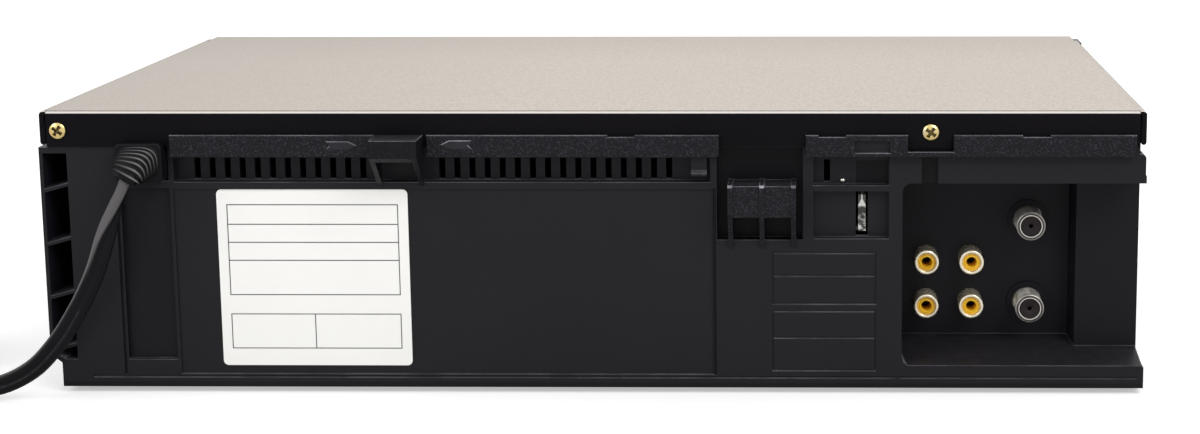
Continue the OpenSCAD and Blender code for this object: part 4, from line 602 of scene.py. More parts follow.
# ---------------------------------------------------------------- bottom plate and feet
# A pressed steel plate, painted black, closes the tub from below. Four round pads of black rubber with a
# ring groove are pressed into it.
dark_paint = finish("dark_paint", tone(24, 23, 26), 0.5, drift=0.14, cloud=0.04, grain=0.0009,
                    relief=0.00003, specular=0.12)
dress(dark_paint, "bottom_cover")
rubber = finish("black_rubber", tone(26, 26, 26), 0.72, drift=0.18, cloud=0.01, grain=0.0003,
                relief=0.00003, specular=0.12)
FOOT_PLACES = [(x, y) for x in (-150.0, 150.0) for y in (-78.0, 74.0)]
FOOT_PROFILE = (  # radius and height from the middle of the sole outwards
    (1.2, 0.25), (3.0, 0.05), (4.6, 0.0), (4.9, 0.5), (5.6, 0.5), (5.9, 0.0), (8.2, 0.0), (8.8, 0.3),
    (9.0, 0.9), (9.0, 2.0))


def turned_rows(rows, middle, axis, side):
    """Rows of (radius, way along the axis), one pair for each spoke, set out about the axis: the middle, plus
    way along the axis, plus the radius along the spoke, which turns from side to axis crossed with side."""
    axis, side = np.asarray(axis, float), np.asarray(side, float)
    angle = full_turn(rows.shape[1])[:, None]
    spokes = np.cos(angle) * side + np.sin(angle) * np.cross(axis, side)
    return loft((np.asarray(middle) + rows[..., 1:] * axis + rows[..., :1] * spokes) / 1000)


def lathe(profile, middle, axis=(0.0, 0.0, 1.0), side=(1.0, 0.0, 0.0), count=40):
    """Each pair (radius, way along the axis) of the profile becomes a circle about the axis."""
    return turned_rows(np.asarray(profile, float)[:, None].repeat(count, axis=1), middle, axis, side)


rubber_feet = make_piece("rubber_feet", [lathe(FOOT_PROFILE, (x, y, 0.0)) for x, y in FOOT_PLACES], rubber)
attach(rubber_feet, "body")
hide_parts("feet")

# ---------------------------------------------------------------- lid
# The lid is one steel sheet, bent down over the rear into a flange with a screw tab and down both sides into
# hemmed lips. Its top is painted a beige grey with a fine mottle, and the bent faces are left satin black.
# The top carries painted shade towards its left seen from behind and towards the front, and the rear bend a
# painted highlight.
LID_HALF, LID_FRONT, LID_LIP_FRONT = 179.0, 220.5, 203.7
LID_TOP, FLANGE_FOOT, LIP_FOOT = 92.0, 80.3, 80.9
LID_SHEET, LID_BEND, LIP_THICKNESS, LIP_ROUND = 0.8, 1.3, 1.8, 0.9
LEVEL_SLOPE = 0.985  # a face whose normal is lower than this belongs to a bend and is black
TAB_MIDDLE, TAB_WIDTH, TAB_DROP = 109.6, 14.2, 1.2

lid_paint = finish("lid_paint", tone(199, 190, 180), 0.55, drift=0.035, cloud=0.07, grain=0.0005,
                   relief=0.000012, specular=0.25, rough_drift=0.04)
tree = lid_paint.node_tree
spot = place_of(tree)
mottle = carried(tree, noise(tree, spot, 1050.0, 3.0), 0.42, 0.66, 0.0, 0.6)
repaint(lid_paint, mottle, tone(164, 154, 144))
# Painted shade: the top is painted darker towards its left seen from behind and towards the set's front.
for axis, start, end, most in (("X", 0.02, 0.18, 0.5), ("Y", -0.03, -0.118, 0.4)):
    shade = carried(tree, split(tree, spot)[axis], start, end, 0.0, most)
    repaint(lid_paint, shade, tone(164, 157, 150))
lid_black = finish("lid_black", tone(15, 13, 16), 0.36, drift=0.2, cloud=0.05, grain=0.0007,
                   relief=0.000015, specular=0.05)
tree = lid_black.node_tree
# Painted highlight: a pale line where the sheet bends over the rear, as the bend catches the light.
slope = facing_up(tree)
painted_bend_highlight = product(tree, carried(tree, slope, 0.3, 0.45, 0.0, 0.95), carried(tree, slope, 0.9, 0.8))
repaint(lid_black, painted_bend_highlight, tone(226, 220, 214))


def lid_face(radius, top, start):
    """Depth and height of one face of the sheet: up the flange, round a quarter circle, then forward."""
    arc = np.radians(np.linspace(0, 90, 7))
    depths, heights = LID_BEND - LID_SHEET - radius * np.cos(arc), LID_TOP - LID_BEND + radius * np.sin(arc)
    return np.concatenate([[(start, FLANGE_FOOT)], np.stack([depths, heights], axis=-1),
                           [(60.0, top), (LID_FRONT, top)]])


section = np.concatenate([lid_face(LID_BEND, LID_TOP, -LID_SHEET),
                          lid_face(LID_BEND - LID_SHEET, LID_TOP - LID_SHEET, 0.0)[::-1]])
span = LID_HALF - LIP_THICKNESS - 0.3
shapes = [loft(np.array([rear(x, section[:, 0], section[:, 1]) for x in np.linspace(-span, span, 9)]))]
arc = np.radians(np.linspace(0, 90, 6))
rise, run = np.sin(arc), np.cos(arc)
lip_edge, lip_middle = LID_HALF - LIP_ROUND, np.array([LID_HALF - LIP_ROUND, LIP_FOOT + 5.0])
lip = np.concatenate([
    [(span - 0.05, LID_TOP - LID_SHEET), (span - 0.05, LID_TOP)],
    np.stack([LID_HALF - LID_BEND * (1 - rise), LID_TOP - LID_BEND * (1 - run)], axis=-1),
    np.stack([lip_edge + LIP_ROUND * run, LIP_FOOT + LIP_ROUND * (1 - rise)], axis=-1),
    np.stack([lip_edge - LIP_ROUND * rise, LIP_FOOT + LIP_ROUND * (1 - run)], axis=-1),
    [(LID_HALF - LIP_THICKNESS, LID_TOP - LID_SHEET)]])
for way in (-1, 1):
    rings = []
    for depth, inset in ((-LID_SHEET, 0.25), (-LID_SHEET + 0.25, 0.0), (100.0, 0.0), (LID_LIP_FRONT, 0.0)):
        pull = 1 - inset / np.maximum(np.linalg.norm(lip - lip_middle, axis=1), 1)[:, None]
        line = lip_middle + (lip - lip_middle) * pull
        rings.append(rear(way * line[:, 0], depth, line[:, 1]))
    shapes.append(loft(np.array(rings)))
shapes.append(plate(rear, TAB_MIDDLE - TAB_WIDTH / 2, TAB_MIDDLE + TAB_WIDTH / 2, FLANGE_FOOT - TAB_DROP,
                    FLANGE_FOOT + 3, -LID_SHEET - 0.01, -0.01, 0.8, 0.1))
lid = make_piece("lid", shapes, lid_paint, 28.0)
lid.data.materials.append(lid_black)
slopes = np.zeros(len(lid.data.polygons) * 3)
lid.data.polygons.foreach_get("normal", slopes)
lid.data.polygons.foreach_set("material_index", (slopes[2::3] < LEVEL_SLOPE).astype(np.int32))
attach(lid, "body")
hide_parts("top_cover")

# ---------------------------------------------------------------- screws
# Cross-head screws of steel in yellow zinc: two through the lid, four through the deck plate and four in the
# bottom plate. Each is a domed head with a cross stamped into it, a washer face and a threaded shank.
SCREW_HEAD, SCREW_DOME, SCREW_SHANK, CROSS_ARM, CROSS_HALF, CROSS_DEPTH = 2.6, 1.4, 1.4, 1.6, 0.42, 1.3
SCREW_RINGS = (0.15, 0.3, 0.42, 0.6, 0.9, 1.2, 1.45, 1.6, 1.9, 2.2, 2.45, SCREW_HEAD)
SCREW_SKIRT = ((SCREW_HEAD, 0.25), (SCREW_HEAD - 0.15, 0.0), (SCREW_SHANK, 0.0))
SCREW_SPOKES, CROSS_SHADE = 48, 0.85
THREAD_PITCH, THREAD_DEPTH = 0.8, 0.22
LID_SCREWS, CROSS_TURN = ((-173.0, 85.6), (109.6, 85.1)), (0.82, 0.0, 0.57)
DECK_SCREWS = ((-126.0, -88.0), (66.0, -88.0), (66.0, 80.0), (-86.0, 80.0))
BOTTOM_SCREWS = ((-140.0, -58.0), (140.0, -58.0), (-140.0, 42.0), (140.0, 48.0))
LID_SCREW_LENGTH, DECK_SCREW_LENGTH, BOTTOM_SCREW_LENGTH, DECK_TOP = 7.6, 7.0, 1.5, 23.2

yellow_zinc = finish("yellow_zinc", tone(222, 198, 132), 0.26, drift=0.22, cloud=0.0012, grain=0.0002,
                     relief=0.00001, metallic=1.0)
tree = yellow_zinc.node_tree
thin_film = carried(tree, noise(tree, place_of(tree), 420.0), 0.5, 0.7, 0.0, 0.6)
repaint(yellow_zinc, thin_film, tone(212, 204, 182))
# Painted shade: the cross recess is painted dark brown, for the shade inside it.
repaint(yellow_zinc, attribute(tree, "sunk"), tone(38, 30, 18))


def screw(seat, out, side, length):
    """A dome over the radius, sunk where a cross of two bars covers it, then a skirt and a shank whose radius
    falls and rises with the turn of the thread. Returns the shape and a mark of painted shade for each point
    in the cross."""
    spokes = full_turn(SCREW_SPOKES)
    r, angle = np.meshgrid(SCREW_RINGS, spokes, indexing="ij")
    u, v = abs(r * np.cos(angle)), abs(r * np.sin(angle))
    bar = np.minimum(np.maximum(u, v) < CROSS_ARM, np.minimum(u, v) < CROSS_HALF)
    dome = SCREW_DOME * np.sqrt(np.clip(1 - 0.75 * (r / SCREW_HEAD) ** 2, 0, 1))
    head = np.stack([r, dome - bar * CROSS_DEPTH * (1 - 0.25 * np.maximum(u, v) / CROSS_ARM)], axis=-1)
    way, angle = np.meshgrid(np.linspace(-0.02, -length, int(length * 6) + 2), spokes, indexing="ij")
    tooth = 1 - 2 * abs((way / THREAD_PITCH - angle / (2 * np.pi)) % 1 - 0.5)
    shank = np.stack([SCREW_SHANK - THREAD_DEPTH * tooth * np.clip(-way, 0, 1), way], axis=-1)
    skirt = np.array(SCREW_SKIRT)[:, None].repeat(SCREW_SPOKES, axis=1)
    rows = np.concatenate([head, skirt, shank])
    marks = np.zeros(rows.shape[:2])
    marks[:len(head)] = bar * CROSS_SHADE
    return turned_rows(rows, seat, out, side), np.append(marks, [CROSS_SHADE, 0.0])


cross_side = unit(np.array(CROSS_TURN))
screw_shapes = [screw((-x, REAR_FACE + LID_SHEET, FOOT_RISE + z), (0, 1, 0), cross_side, LID_SCREW_LENGTH)
                for x, z in LID_SCREWS]
screw_shapes += [screw((x, y, DECK_TOP), (0, 0, 1), (1, 0, 0), DECK_SCREW_LENGTH) for x, y in DECK_SCREWS]
screw_shapes += [screw((x, y, FOOT_RISE), (0, 0, -1), (1, 0, 0), BOTTOM_SCREW_LENGTH)
                 for x, y in BOTTOM_SCREWS]
zinc_screws = make_piece("zinc_screws", [shape for shape, _ in screw_shapes], yellow_zinc, 30.0)
note_points(zinc_screws, "sunk", np.concatenate([marks for _, marks in screw_shapes]))
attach(zinc_screws, "body")
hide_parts("screws")

# ---------------------------------------------------------------- rating label
# A white film label with round corners, stuck in the middle of the left panel. Frames and plain rules divide
# it, as such a label is divided.
label_film = finish("label_film", tone(248, 247, 244), 0.5, drift=0.02, cloud=0.02, grain=0.0006,
                    relief=0.000004, specular=0.3)
dress(label_film, "rating_label")
LABEL_LEFT, LABEL_RIGHT, LABEL_DEPTH = -119.6, -63.5, 0.44
RULE_HEIGHTS, RULE_WIDTH, BOX_DIVIDER = (61.0, 54.5, 48.5, 42.5, 31.0, 24.5, 13.0), 0.3, -92.0
label_ink = finish("label_ink", tone(70, 69, 70), 0.6, drift=0.1, cloud=0.01, grain=0.0004, relief=0.000003,
                   specular=0.2)


def strip(left, right, bottom, top):
    """A flat bar of ink on the label: its outline at two depths, a twenty-fifth of a millimetre apart."""
    x, z = np.array([(left, bottom), (right, bottom), (right, top), (left, top)]).T
    return loft(np.array([rear(x, LABEL_DEPTH + way * 0.02, z) for way in (-1, 1)]))


rules = [strip(LABEL_LEFT, LABEL_RIGHT, z - RULE_WIDTH / 2, z + RULE_WIDTH / 2) for z in RULE_HEIGHTS]
sides = LABEL_LEFT, LABEL_RIGHT - RULE_WIDTH
rules += [strip(x, x + RULE_WIDTH, 13.0, 24.5) for x in (*sides, BOX_DIVIDER)]
rules += [strip(x, x + RULE_WIDTH, 31.0, 61.0) for x in sides]
label_rules = make_piece("label_rules", rules, label_ink, 20.0)
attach(label_rules, "body")

# ---------------------------------------------------------------- phono jacks
# Four phono jacks: a rolled shell of plated brass round an insert of yellow plastic, with the contact tube at
# its middle, painted black as shade deep in the bore. A push-on plug grips the shell from outside.
PHONO_PLACES = [(x, z) for x in (109.6, 124.6) for z in (22.9, 37.9)]
RECESS_WALL, JACK_SPOKES = 74.0, 44  # how far to the rear the wall stands, and the flats of a turned part
PHONO_SHELL = (  # radius, and depth behind the wall, which is below zero for what stands out of it
    (2.95, -8.8), (2.95, -9.5), (3.08, -9.82), (3.35, -10.0), (3.75, -10.0), (4.02, -9.86), (4.15, -9.5),
    (4.15, -0.3), (4.2, 0.0), (3.9, 0.0), (3.9, 3.0), (3.4, 3.0), (3.4, -8.8))
PHONO_INSERT = (
    (1.62, -4.0), (1.66, -8.9), (1.78, -9.3), (2.05, -9.5), (2.3, -9.4), (2.45, -8.9), (2.93, -8.9),
    (3.38, -8.78), (3.38, 3.0), (1.62, 3.0))
PHONO_HOLE = ((0.4, -2.0), (1.6, -2.0), (1.6, 2.9), (0.4, 2.9))

gold_plate = finish("gold_plate", tone(236, 226, 202), 0.26, drift=0.12, cloud=0.002, grain=0.0002,
                    relief=0.000006, metallic=0.75)
yellow_plastic = finish("yellow_plastic", tone(250, 198, 44), 0.3, drift=0.08, cloud=0.004, grain=0.0003,
                        relief=0.000006, specular=0.5)
# Painted shade: the contact tube is coloured near black, for the shade deep in the jack's bore.
hole_shade_black = finish("painted_hole_shade", tone(10, 9, 9), 0.8, drift=0.1, cloud=0.002, grain=0.0003,
                     relief=0.000004, specular=0.1)


def jack_parts(profile, places):
    """The profile turned about each jack's axis, which runs from the recess's wall towards the rear."""
    flipped = np.array(profile) * [1, -1]
    return [lathe(flipped, (-x, RECESS_WALL, FOOT_RISE + z), (0, 1, 0), (0, 0, 1), JACK_SPOKES)
            for x, z in places]


def ring_parts(profile, places):
    """As jack_parts, but the profile closes on itself: faces that reach its last row take the first row."""
    shapes = []
    for points, quads, _ in jack_parts(profile + profile[:1], places):
        keep = len(profile) * JACK_SPOKES
        shapes.append((points[:keep], np.where(quads >= keep, quads - keep, quads), np.zeros((0, 3), int)))
    return shapes


jack_shells = make_piece("jack_shells", ring_parts(PHONO_SHELL, PHONO_PLACES), gold_plate, 40.0)
jack_inserts = make_piece("jack_inserts", ring_parts(PHONO_INSERT, PHONO_PLACES), yellow_plastic, 40.0)
jack_cores = make_piece("jack_cores", jack_parts(PHONO_HOLE, PHONO_PLACES), hole_shade_black)
for piece, slot_name, node_name in ((jack_shells, "gold_plate", "phono_shells"),
                                    (jack_inserts, "yellow_plastic", "phono_inserts")):
    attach(piece, "body")
    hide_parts(node_name)
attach(jack_cores, "body")

# ---------------------------------------------------------------- aerial connectors
# Two coaxial connectors with a 3/8-32 thread, die-cast and nickel plated, come through the recess's wall.
# Inside the rim a dark insulator holds the centre contact.
AERIAL_PLACES = ((144.0, 22.8), (144.0, 50.8))
AERIAL_RADIUS, AERIAL_PITCH, AERIAL_THREAD, AERIAL_NECK = 4.75, 0.794, 0.34, 4.45
AERIAL_REACH, AERIAL_RIM, AERIAL_SPOKES, AERIAL_ROWS = 13.0, 3.45, 48, 100
AERIAL_TIP = (  # radius, and distance short of the tip
    (AERIAL_RADIUS - 0.1, 0.4), (AERIAL_RADIUS - 0.3, 0.3), (AERIAL_RADIUS - 0.32, 0.31), (3.84, 0.25),
    (3.82, 0.2), (3.76, 0.0), (3.56, 0.0), (AERIAL_RIM, 0.15), (AERIAL_RIM, AERIAL_REACH - 2.0))
TIP_SHADES = [0.0] * 98 + [0.6] * 4 + [0.95] * 2 + [0.0] * 5  # how much painted shade each row takes, from the wall on
INSULATOR_PROFILE = (
    (0.55, -9.4), (0.75, -12.2), (0.95, -12.35), (3.2, -12.35), (3.44, -12.1), (3.44, -2.2), (0.55, -2.2))

insulator = finish("insulator", tone(34, 27, 28), 0.5, drift=0.12, cloud=0.002, grain=0.0003,
                   relief=0.00001, specular=0.2)
die_cast = finish("die_cast", tone(234, 230, 222), 0.36, drift=0.08, cloud=0.003, grain=0.0003,
                  relief=0.00001, metallic=0.8)
# Painted shade on the rows round the chamfer at the barrel's tip.
repaint(die_cast, attribute(die_cast.node_tree, "painted_tip_shade"), tone(46, 43, 42))


def threaded_barrel(x, z):
    """The radius falls and rises once for each pitch and turn, then the tip's profile turns in at the rim."""
    way = np.linspace(-3.2, AERIAL_REACH - 0.45, AERIAL_ROWS)
    way, angle = np.meshgrid(way, full_turn(AERIAL_SPOKES), indexing="ij")
    tooth = abs((way / AERIAL_PITCH - angle / (2 * np.pi)) % 1 - 0.5) * 2
    ease = np.clip((way - 0.8) / 0.8, 0, 1) * np.clip((AERIAL_REACH - 1.2 - way) / 0.6, 0, 1)
    radius = np.where(way < -0.2, AERIAL_NECK, AERIAL_RADIUS - AERIAL_THREAD * tooth * ease)
    tip = (np.array(AERIAL_TIP) * [1, -1] + [0, AERIAL_REACH])[:, None].repeat(AERIAL_SPOKES, axis=1)
    rows = np.concatenate([np.stack([radius, way], axis=-1), tip])
    return turned_rows(rows, (-x, RECESS_WALL, FOOT_RISE + z), (0, 1, 0), (0, 0, 1))


barrels = [threaded_barrel(*place) for place in AERIAL_PLACES]
aerial_barrels = make_piece("aerial_barrels", barrels, die_cast, 30.0)
aerial_cores = make_piece("aerial_cores", jack_parts(INSULATOR_PROFILE, AERIAL_PLACES), insulator, 40.0)
barrel_marks = np.append(np.repeat(TIP_SHADES, AERIAL_SPOKES), [0.0, 0.0])
note_points(aerial_barrels, "painted_tip_shade", np.tile(barrel_marks, len(AERIAL_PLACES)))
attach(aerial_barrels, "body")
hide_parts("aerial_connectors")
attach(aerial_cores, "body")

# ---------------------------------------------------------------- ground clip and tuner box
# A spring contact of plated strip stands in a slot beside the aerials, with a rivet over it. Behind them sits
# the tuner's screening can, folded from tinned sheet with slots in its cover.
RIVET_AT, RIVET_RADIUS, RIVET_SEAT, RIVET_DOME = (81.3, 68.6), 0.9, 100.6, 0.6
CLIP_MIDDLE, CLIP_HEAD = 0.0876, (0.0620, 0.0645)  # sideways place, and foot and tip of the bright head
CLIP_SIDES = 0.0014, 0.0002  # half the head's width at its foot and at its tip
TUNER_COVER = (-0.157, 0.04525, 0.021), (-0.130, 0.047, 0.053)
clip_plate = finish("clip_plate", tone(222, 222, 218), 0.3, drift=0.1, cloud=0.001, grain=0.0002,
                    relief=0.000006, metallic=0.7)
tree = clip_plate.node_tree
apart = split(tree, place_of(tree))
# Painted shade: the strip is painted dark beside its tapering bright head, and in blotches below it, as it
# stands in the slot's shade.
aside = maths(tree, "ABSOLUTE", maths(tree, "ADD", apart["X"], CLIP_MIDDLE))
beside = maths(tree, "GREATER_THAN", aside, carried(tree, apart["Z"], *CLIP_HEAD, *CLIP_SIDES))
shade_blotches = carried(tree, noise(tree, place_of(tree), 700.0), 0.4, 0.55, 0.35, 0.95)
below = product(tree, maths(tree, "LESS_THAN", apart["Z"], CLIP_HEAD[0]), shade_blotches)
repaint(clip_plate, maths(tree, "MAXIMUM", below, product(tree, beside, 0.9)), tone(40, 38, 38))
dress(clip_plate, "ground_clip")
dome = np.radians(np.linspace(8, 90, 6))
rivet_profile = np.stack([RIVET_RADIUS * np.sin(dome), RIVET_SEAT + RIVET_DOME * np.cos(dome)], axis=-1)
rivet_profile = np.append(rivet_profile, [(RIVET_RADIUS, RIVET_SEAT - 0.4)], axis=0)
rivet_middle = -RIVET_AT[0], 0.0, FOOT_RISE + RIVET_AT[1]
clip_rivet = make_piece("clip_rivet", [lathe(rivet_profile, rivet_middle, (0, 1, 0), (0, 0, 1), 20)], nickel)
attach(clip_rivet, "body")
tinned = finish("tinned_sheet", tone(186, 188, 186), 0.3, drift=0.1, cloud=0.006, grain=0.0004,
                relief=0.000008, metallic=1.0)
tree = tinned.node_tree
repaint(tinned, within(tree, place_of(tree), *TUNER_COVER), tone(120, 122, 121))
dress(tinned, "tuner_box")

# ---------------------------------------------------------------- front panel and flap
# The panel is moulded in the same black plastic, left smooth. The flap over the cassette slot swings on two
# pins, and a torsion spring of bare steel wire closes it.
PANEL_FACE = -118.0
FLAP_SPRING, SPRING_RADIUS, SPRING_WIRE, SPRING_TURNS = (69.95, 4.6, 86.2), 1.65, 0.3, 4.0
SPRING_WIDTH, LEG_ENDS = 2.6, (7.4, 0.4)
front_black = finish("front_black", tone(27, 27, 30), 0.3, drift=0.1, cloud=0.08, grain=0.0008,
                     relief=0.000008, specular=0.16, rough_drift=0.05)
# Painted highlights on the panel's upward edges.
paint_edge_highlight(front_black, 0.0004, tone(112, 112, 118), 0.6)
flap_black = finish("flap_black", tone(20, 20, 23), 0.18, drift=0.12, cloud=0.06, grain=0.0009,
                    relief=0.000005, specular=0.22, rough_drift=0.05)
# Painted highlights on the flap's upward edges.
paint_edge_highlight(flap_black, 0.0004, tone(120, 120, 126), 0.6)
dress(front_black, "front_panel")
dress(flap_black, "cassette_door")
spring_steel = finish("spring_steel", tone(184, 185, 188), 0.22, drift=0.1, cloud=0.002, grain=0.0002,
                      relief=0.000004, metallic=1.0)


def front(x, depth, z):
    """Metres from millimetres: x as the model's own, depth into the set from the panel, z up from its bottom
    plate."""
    places = np.broadcast_arrays(np.asarray(x, float), PANEL_FACE + depth, FOOT_RISE + z)
    return np.stack(places, axis=-1) / 1000


def wire(points, radius, count=10):
    """Circles about the points of a line, square to its run. Their first side is the run crossed with x."""
    run = unit(np.gradient(points, axis=0))
    one = unit(np.cross(run, [1.0, 0.0, 0.0]))
    two = np.cross(run, one)
    angle = full_turn(count)[:, None]
    rings = points[:, None] + radius * (np.cos(angle) * one[:, None] + np.sin(angle) * two[:, None])
    return loft(front(rings[..., 0], rings[..., 1], rings[..., 2]))


angle = np.linspace(0, 2 * np.pi * SPRING_TURNS, 97)
wound_wire = FLAP_SPRING + np.stack([SPRING_WIDTH * angle / angle[-1], SPRING_RADIUS * np.cos(angle),
                                     SPRING_RADIUS * np.sin(angle)], axis=-1)
leg = wound_wire[0] - up * np.linspace(*LEG_ENDS, 8)[:, None]
flap_spring = make_piece("flap_spring", [wire(np.vstack([leg, wound_wire]), SPRING_WIRE)], spring_steel, 60.0)
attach(flap_spring, "body")
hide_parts("door_spring")

# ---------------------------------------------------------------- buttons
# Eight caps of satin grey plastic travel 0.8 mm. Each carries the plain sign of its use, printed pale and a
# hair proud: power, stop and eject, rewind, play, fast forward, record, and up and down.
SIGN_RISE, SIGN_ROOT = 0.08, 0.02
RIGHT, LEFT = ((-1.0, -1.3), (1.1, 0.0), (-1.0, 1.3)), ((1.0, 1.3), (-1.1, 0.0), (1.0, -1.3))
UP, DOWN = ((-1.4, -0.9), (1.4, -0.9), (0.0, 1.2)), ((-1.4, 0.9), (0.0, -1.2), (1.4, 0.9))
SQUARE = ((-1.1, -1.1), (1.1, -1.1), (1.1, 1.1), (-1.1, 1.1))
UNDERLINE = ((-1.4, -1.6), (1.4, -1.6), (1.4, -1.15), (-1.4, -1.15))
STROKE = ((-0.24, 0.3), (0.24, 0.3), (0.24, 2.0), (-0.24, 2.0))
DISC = 1.25 * np.stack([np.cos(full_turn(24)), np.sin(full_turn(24))], axis=-1)
BUTTON_SIGNS = {  # button: middle across, height, depth of its face, signs and their sideways places
    "power_button": (-152.0, 70.0, 0.1, ((STROKE, 0.0),)),
    "stop_eject_button": (-152.0, 26.0, 0.7, ((SQUARE, -4.0), (UP, 3.0), (UNDERLINE, 3.0))),
    "rewind_button": (84.0, 26.0, 0.7, ((LEFT, -1.1), (LEFT, 1.1))),
    "play_button": (106.0, 26.0, 0.7, ((RIGHT, 0.0),)),
    "fast_forward_button": (128.0, 26.0, 0.7, ((RIGHT, -1.1), (RIGHT, 1.1))),
    "record_button": (150.0, 26.0, 0.7, ((DISC, 0.0),)),
    "channel_up_button": (40.0, 26.0, 0.7, ((UP, 0.0),)),
    "channel_down_button": (18.0, 26.0, 0.7, ((DOWN, 0.0),))}
button_grey = finish("button_grey", tone(98, 98, 102), 0.34, drift=0.06, cloud=0.01, grain=0.0004,
                     relief=0.000006, metallic=0.5, specular=0.3)
# Painted highlights on the caps' upward edges.
paint_edge_highlight(button_grey, 0.0003, tone(190, 190, 194), 0.6)
sign_print = finish("sign_print", tone(214, 214, 212), 0.5, drift=0.03, cloud=0.004, grain=0.0003,
                    relief=0.000002)


def raised_sign(outline, x, z, face):
    """A flat outline carried from just inside a button's face to the print's height in front of it."""
    flat = np.array(outline)
    return loft(np.array([front(x + flat[:, 0], depth, z + flat[:, 1])
                          for depth in (face + SIGN_ROOT, face - SIGN_RISE)]))


def raised_arc(radius, half, gap, x, z, face):
    """A ring of square section that stays open at the top over the gap, in degrees each way."""
    sweep = np.radians(np.linspace(gap, 360 - gap, 33))
    corners = [(radius + side * half, depth) for side, depth in (
        (-1, face + SIGN_ROOT), (1, face + SIGN_ROOT), (1, face - SIGN_RISE), (-1, face - SIGN_RISE))]
    edges = np.array([front(x + r * np.sin(sweep), depth, z + r * np.cos(sweep)) for r, depth in corners])
    return loft(edges.swapaxes(0, 1))


for name, (x, z, face, signs) in BUTTON_SIGNS.items():
    dress(button_grey, name)
    shapes = [raised_sign(outline, x + aside, z, face) for outline, aside in signs]
    if name == "power_button":
        shapes.append(raised_arc(1.6, 0.24, 32, x, z, face))
    piece = make_piece(name + "_sign", shapes, sign_print, 20.0)
    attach(piece, name)

# ---------------------------------------------------------------- display
# A smoked acrylic window, polished on the outside, covers a vacuum display tube of flat glass. The tube's
# unlit segments show pale under a fine control grid.
DIGIT_PLACES, DIGIT_HALF, DIGIT_HEIGHT, DIGIT_BAR = (96.0, 107.0, 124.0, 135.0), 3.2, 5.6, 0.55
COLON_AT, DISPLAY_MIDDLE, GLASS_FACE = 115.5, 70.0, 4.48
LEVEL_BAR = [(side * DIGIT_HALF - side * short, rise * DIGIT_BAR) for side, short, rise in (
    (-1, 0.5, 0), (-1, 1.1, -1), (1, 1.1, -1), (1, 0.5, 0), (1, 1.1, 1), (-1, 1.1, 1))]
UPRIGHT_BAR = [(side * DIGIT_BAR, rise) for side, rise in (
    (0, -2.2), (1, -1.6), (1, 1.6), (0, 2.2), (-1, 1.6), (-1, -1.6))]
COLON_DOT = (-0.5, -0.5), (0.5, -0.5), (0.5, 0.5), (-0.5, 0.5)
smoked = finish("smoked_window", tone(30, 29, 33), 0.05, drift=0.08, cloud=0.05, grain=0.004,
                relief=0.000001, specular=0.4, rough_drift=0.03)
smoked.node_tree.nodes["Principled BSDF"].inputs["Transmission Weight"].default_value = 0.6
dress(smoked, "display_window")
tube_glass = finish("display_glass", tone(40, 62, 60), 0.1, drift=0.1, cloud=0.02, grain=0.001,
                    relief=0.000002, rough_drift=0.04)


def stripes(tree, place, to_a_metre, share):
    """1 over the first share of each stripe, and 0 over the rest of it."""
    return maths(tree, "LESS_THAN", maths(tree, "FRACT", product(tree, place, to_a_metre)), share)


tree = tube_glass.node_tree
grid = [stripes(tree, split(tree, place_of(tree))[axis], 1600.0, 0.2) for axis in "XZ"]
repaint(tube_glass, product(tree, maths(tree, "MAXIMUM", *grid), 0.5), tone(92, 100, 98))
dress(tube_glass, "display_tube")
phosphor = finish("phosphor", tone(150, 170, 164), 0.6, drift=0.06, cloud=0.004, grain=0.0003,
                  relief=0.000003)
segments = []
for middle in DIGIT_PLACES:
    for rise in (-1, 0, 1):
        height = DISPLAY_MIDDLE + rise * (DIGIT_HEIGHT - DIGIT_BAR)
        segments.append(raised_sign(LEVEL_BAR, middle, height, GLASS_FACE))
    for side in (-1, 1):
        for half in (-1, 1):
            aside = middle + side * (DIGIT_HALF - 0.2)
            segments.append(raised_sign(UPRIGHT_BAR, aside, DISPLAY_MIDDLE + half * 2.55, GLASS_FACE))
segments += [raised_sign(COLON_DOT, COLON_AT, DISPLAY_MIDDLE + z, GLASS_FACE) for z in (-2, 2)]
display_segments = make_piece("display_segments", segments, phosphor, 20.0)
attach(display_segments, "body")

# ---------------------------------------------------------------- circuit boards
# Glass-fibre boards under green lacquer, with copper runs that show paler through it. On the main board the
# packages stand in black epoxy.
PACKAGES_FROM = 0.01168  # metres; above it the main board's solid is its packages


def board_finish(name):
    """Green lacquer over thin copper runs: the joints of a brick pattern laid along x and along y plus z."""
    made = finish(name, tone(34, 92, 56), 0.3, drift=0.12, cloud=0.03, grain=0.0006, relief=0.00001,
                  specular=0.4)
    tree = made.node_tree
    apart = split(tree, place_of(tree))
    jog = product(tree, maths(tree, "SNAP", noise(tree, place_of(tree), 60.0), 0.16), 0.02)
    upright = maths(tree, "ADD", maths(tree, "ADD", apart["Y"], apart["Z"]), jog)
    laid = add_node(tree, "CombineXYZ", {"X": apart["X"], "Y": upright}).outputs[0]
    runs = add_node(tree, "TexBrick", {"Vector": laid, "Scale": 90.0, "Mortar Size": 0.035,
                                       "Brick Width": 1.7, "Row Height": 0.24})
    repaint(made, product(tree, runs.outputs["Fac"], 0.6), tone(92, 150, 84))
    return made


lacquer = board_finish("circuit_board")
dress(lacquer, "front_board", "power_board", "jack_board")
packages = board_finish("board_with_packages")
tree = packages.node_tree
above = maths(tree, "GREATER_THAN", split(tree, place_of(tree))["Z"], PACKAGES_FROM)
repaint(packages, above, tone(28, 28, 30))
dress(packages, "main_board")

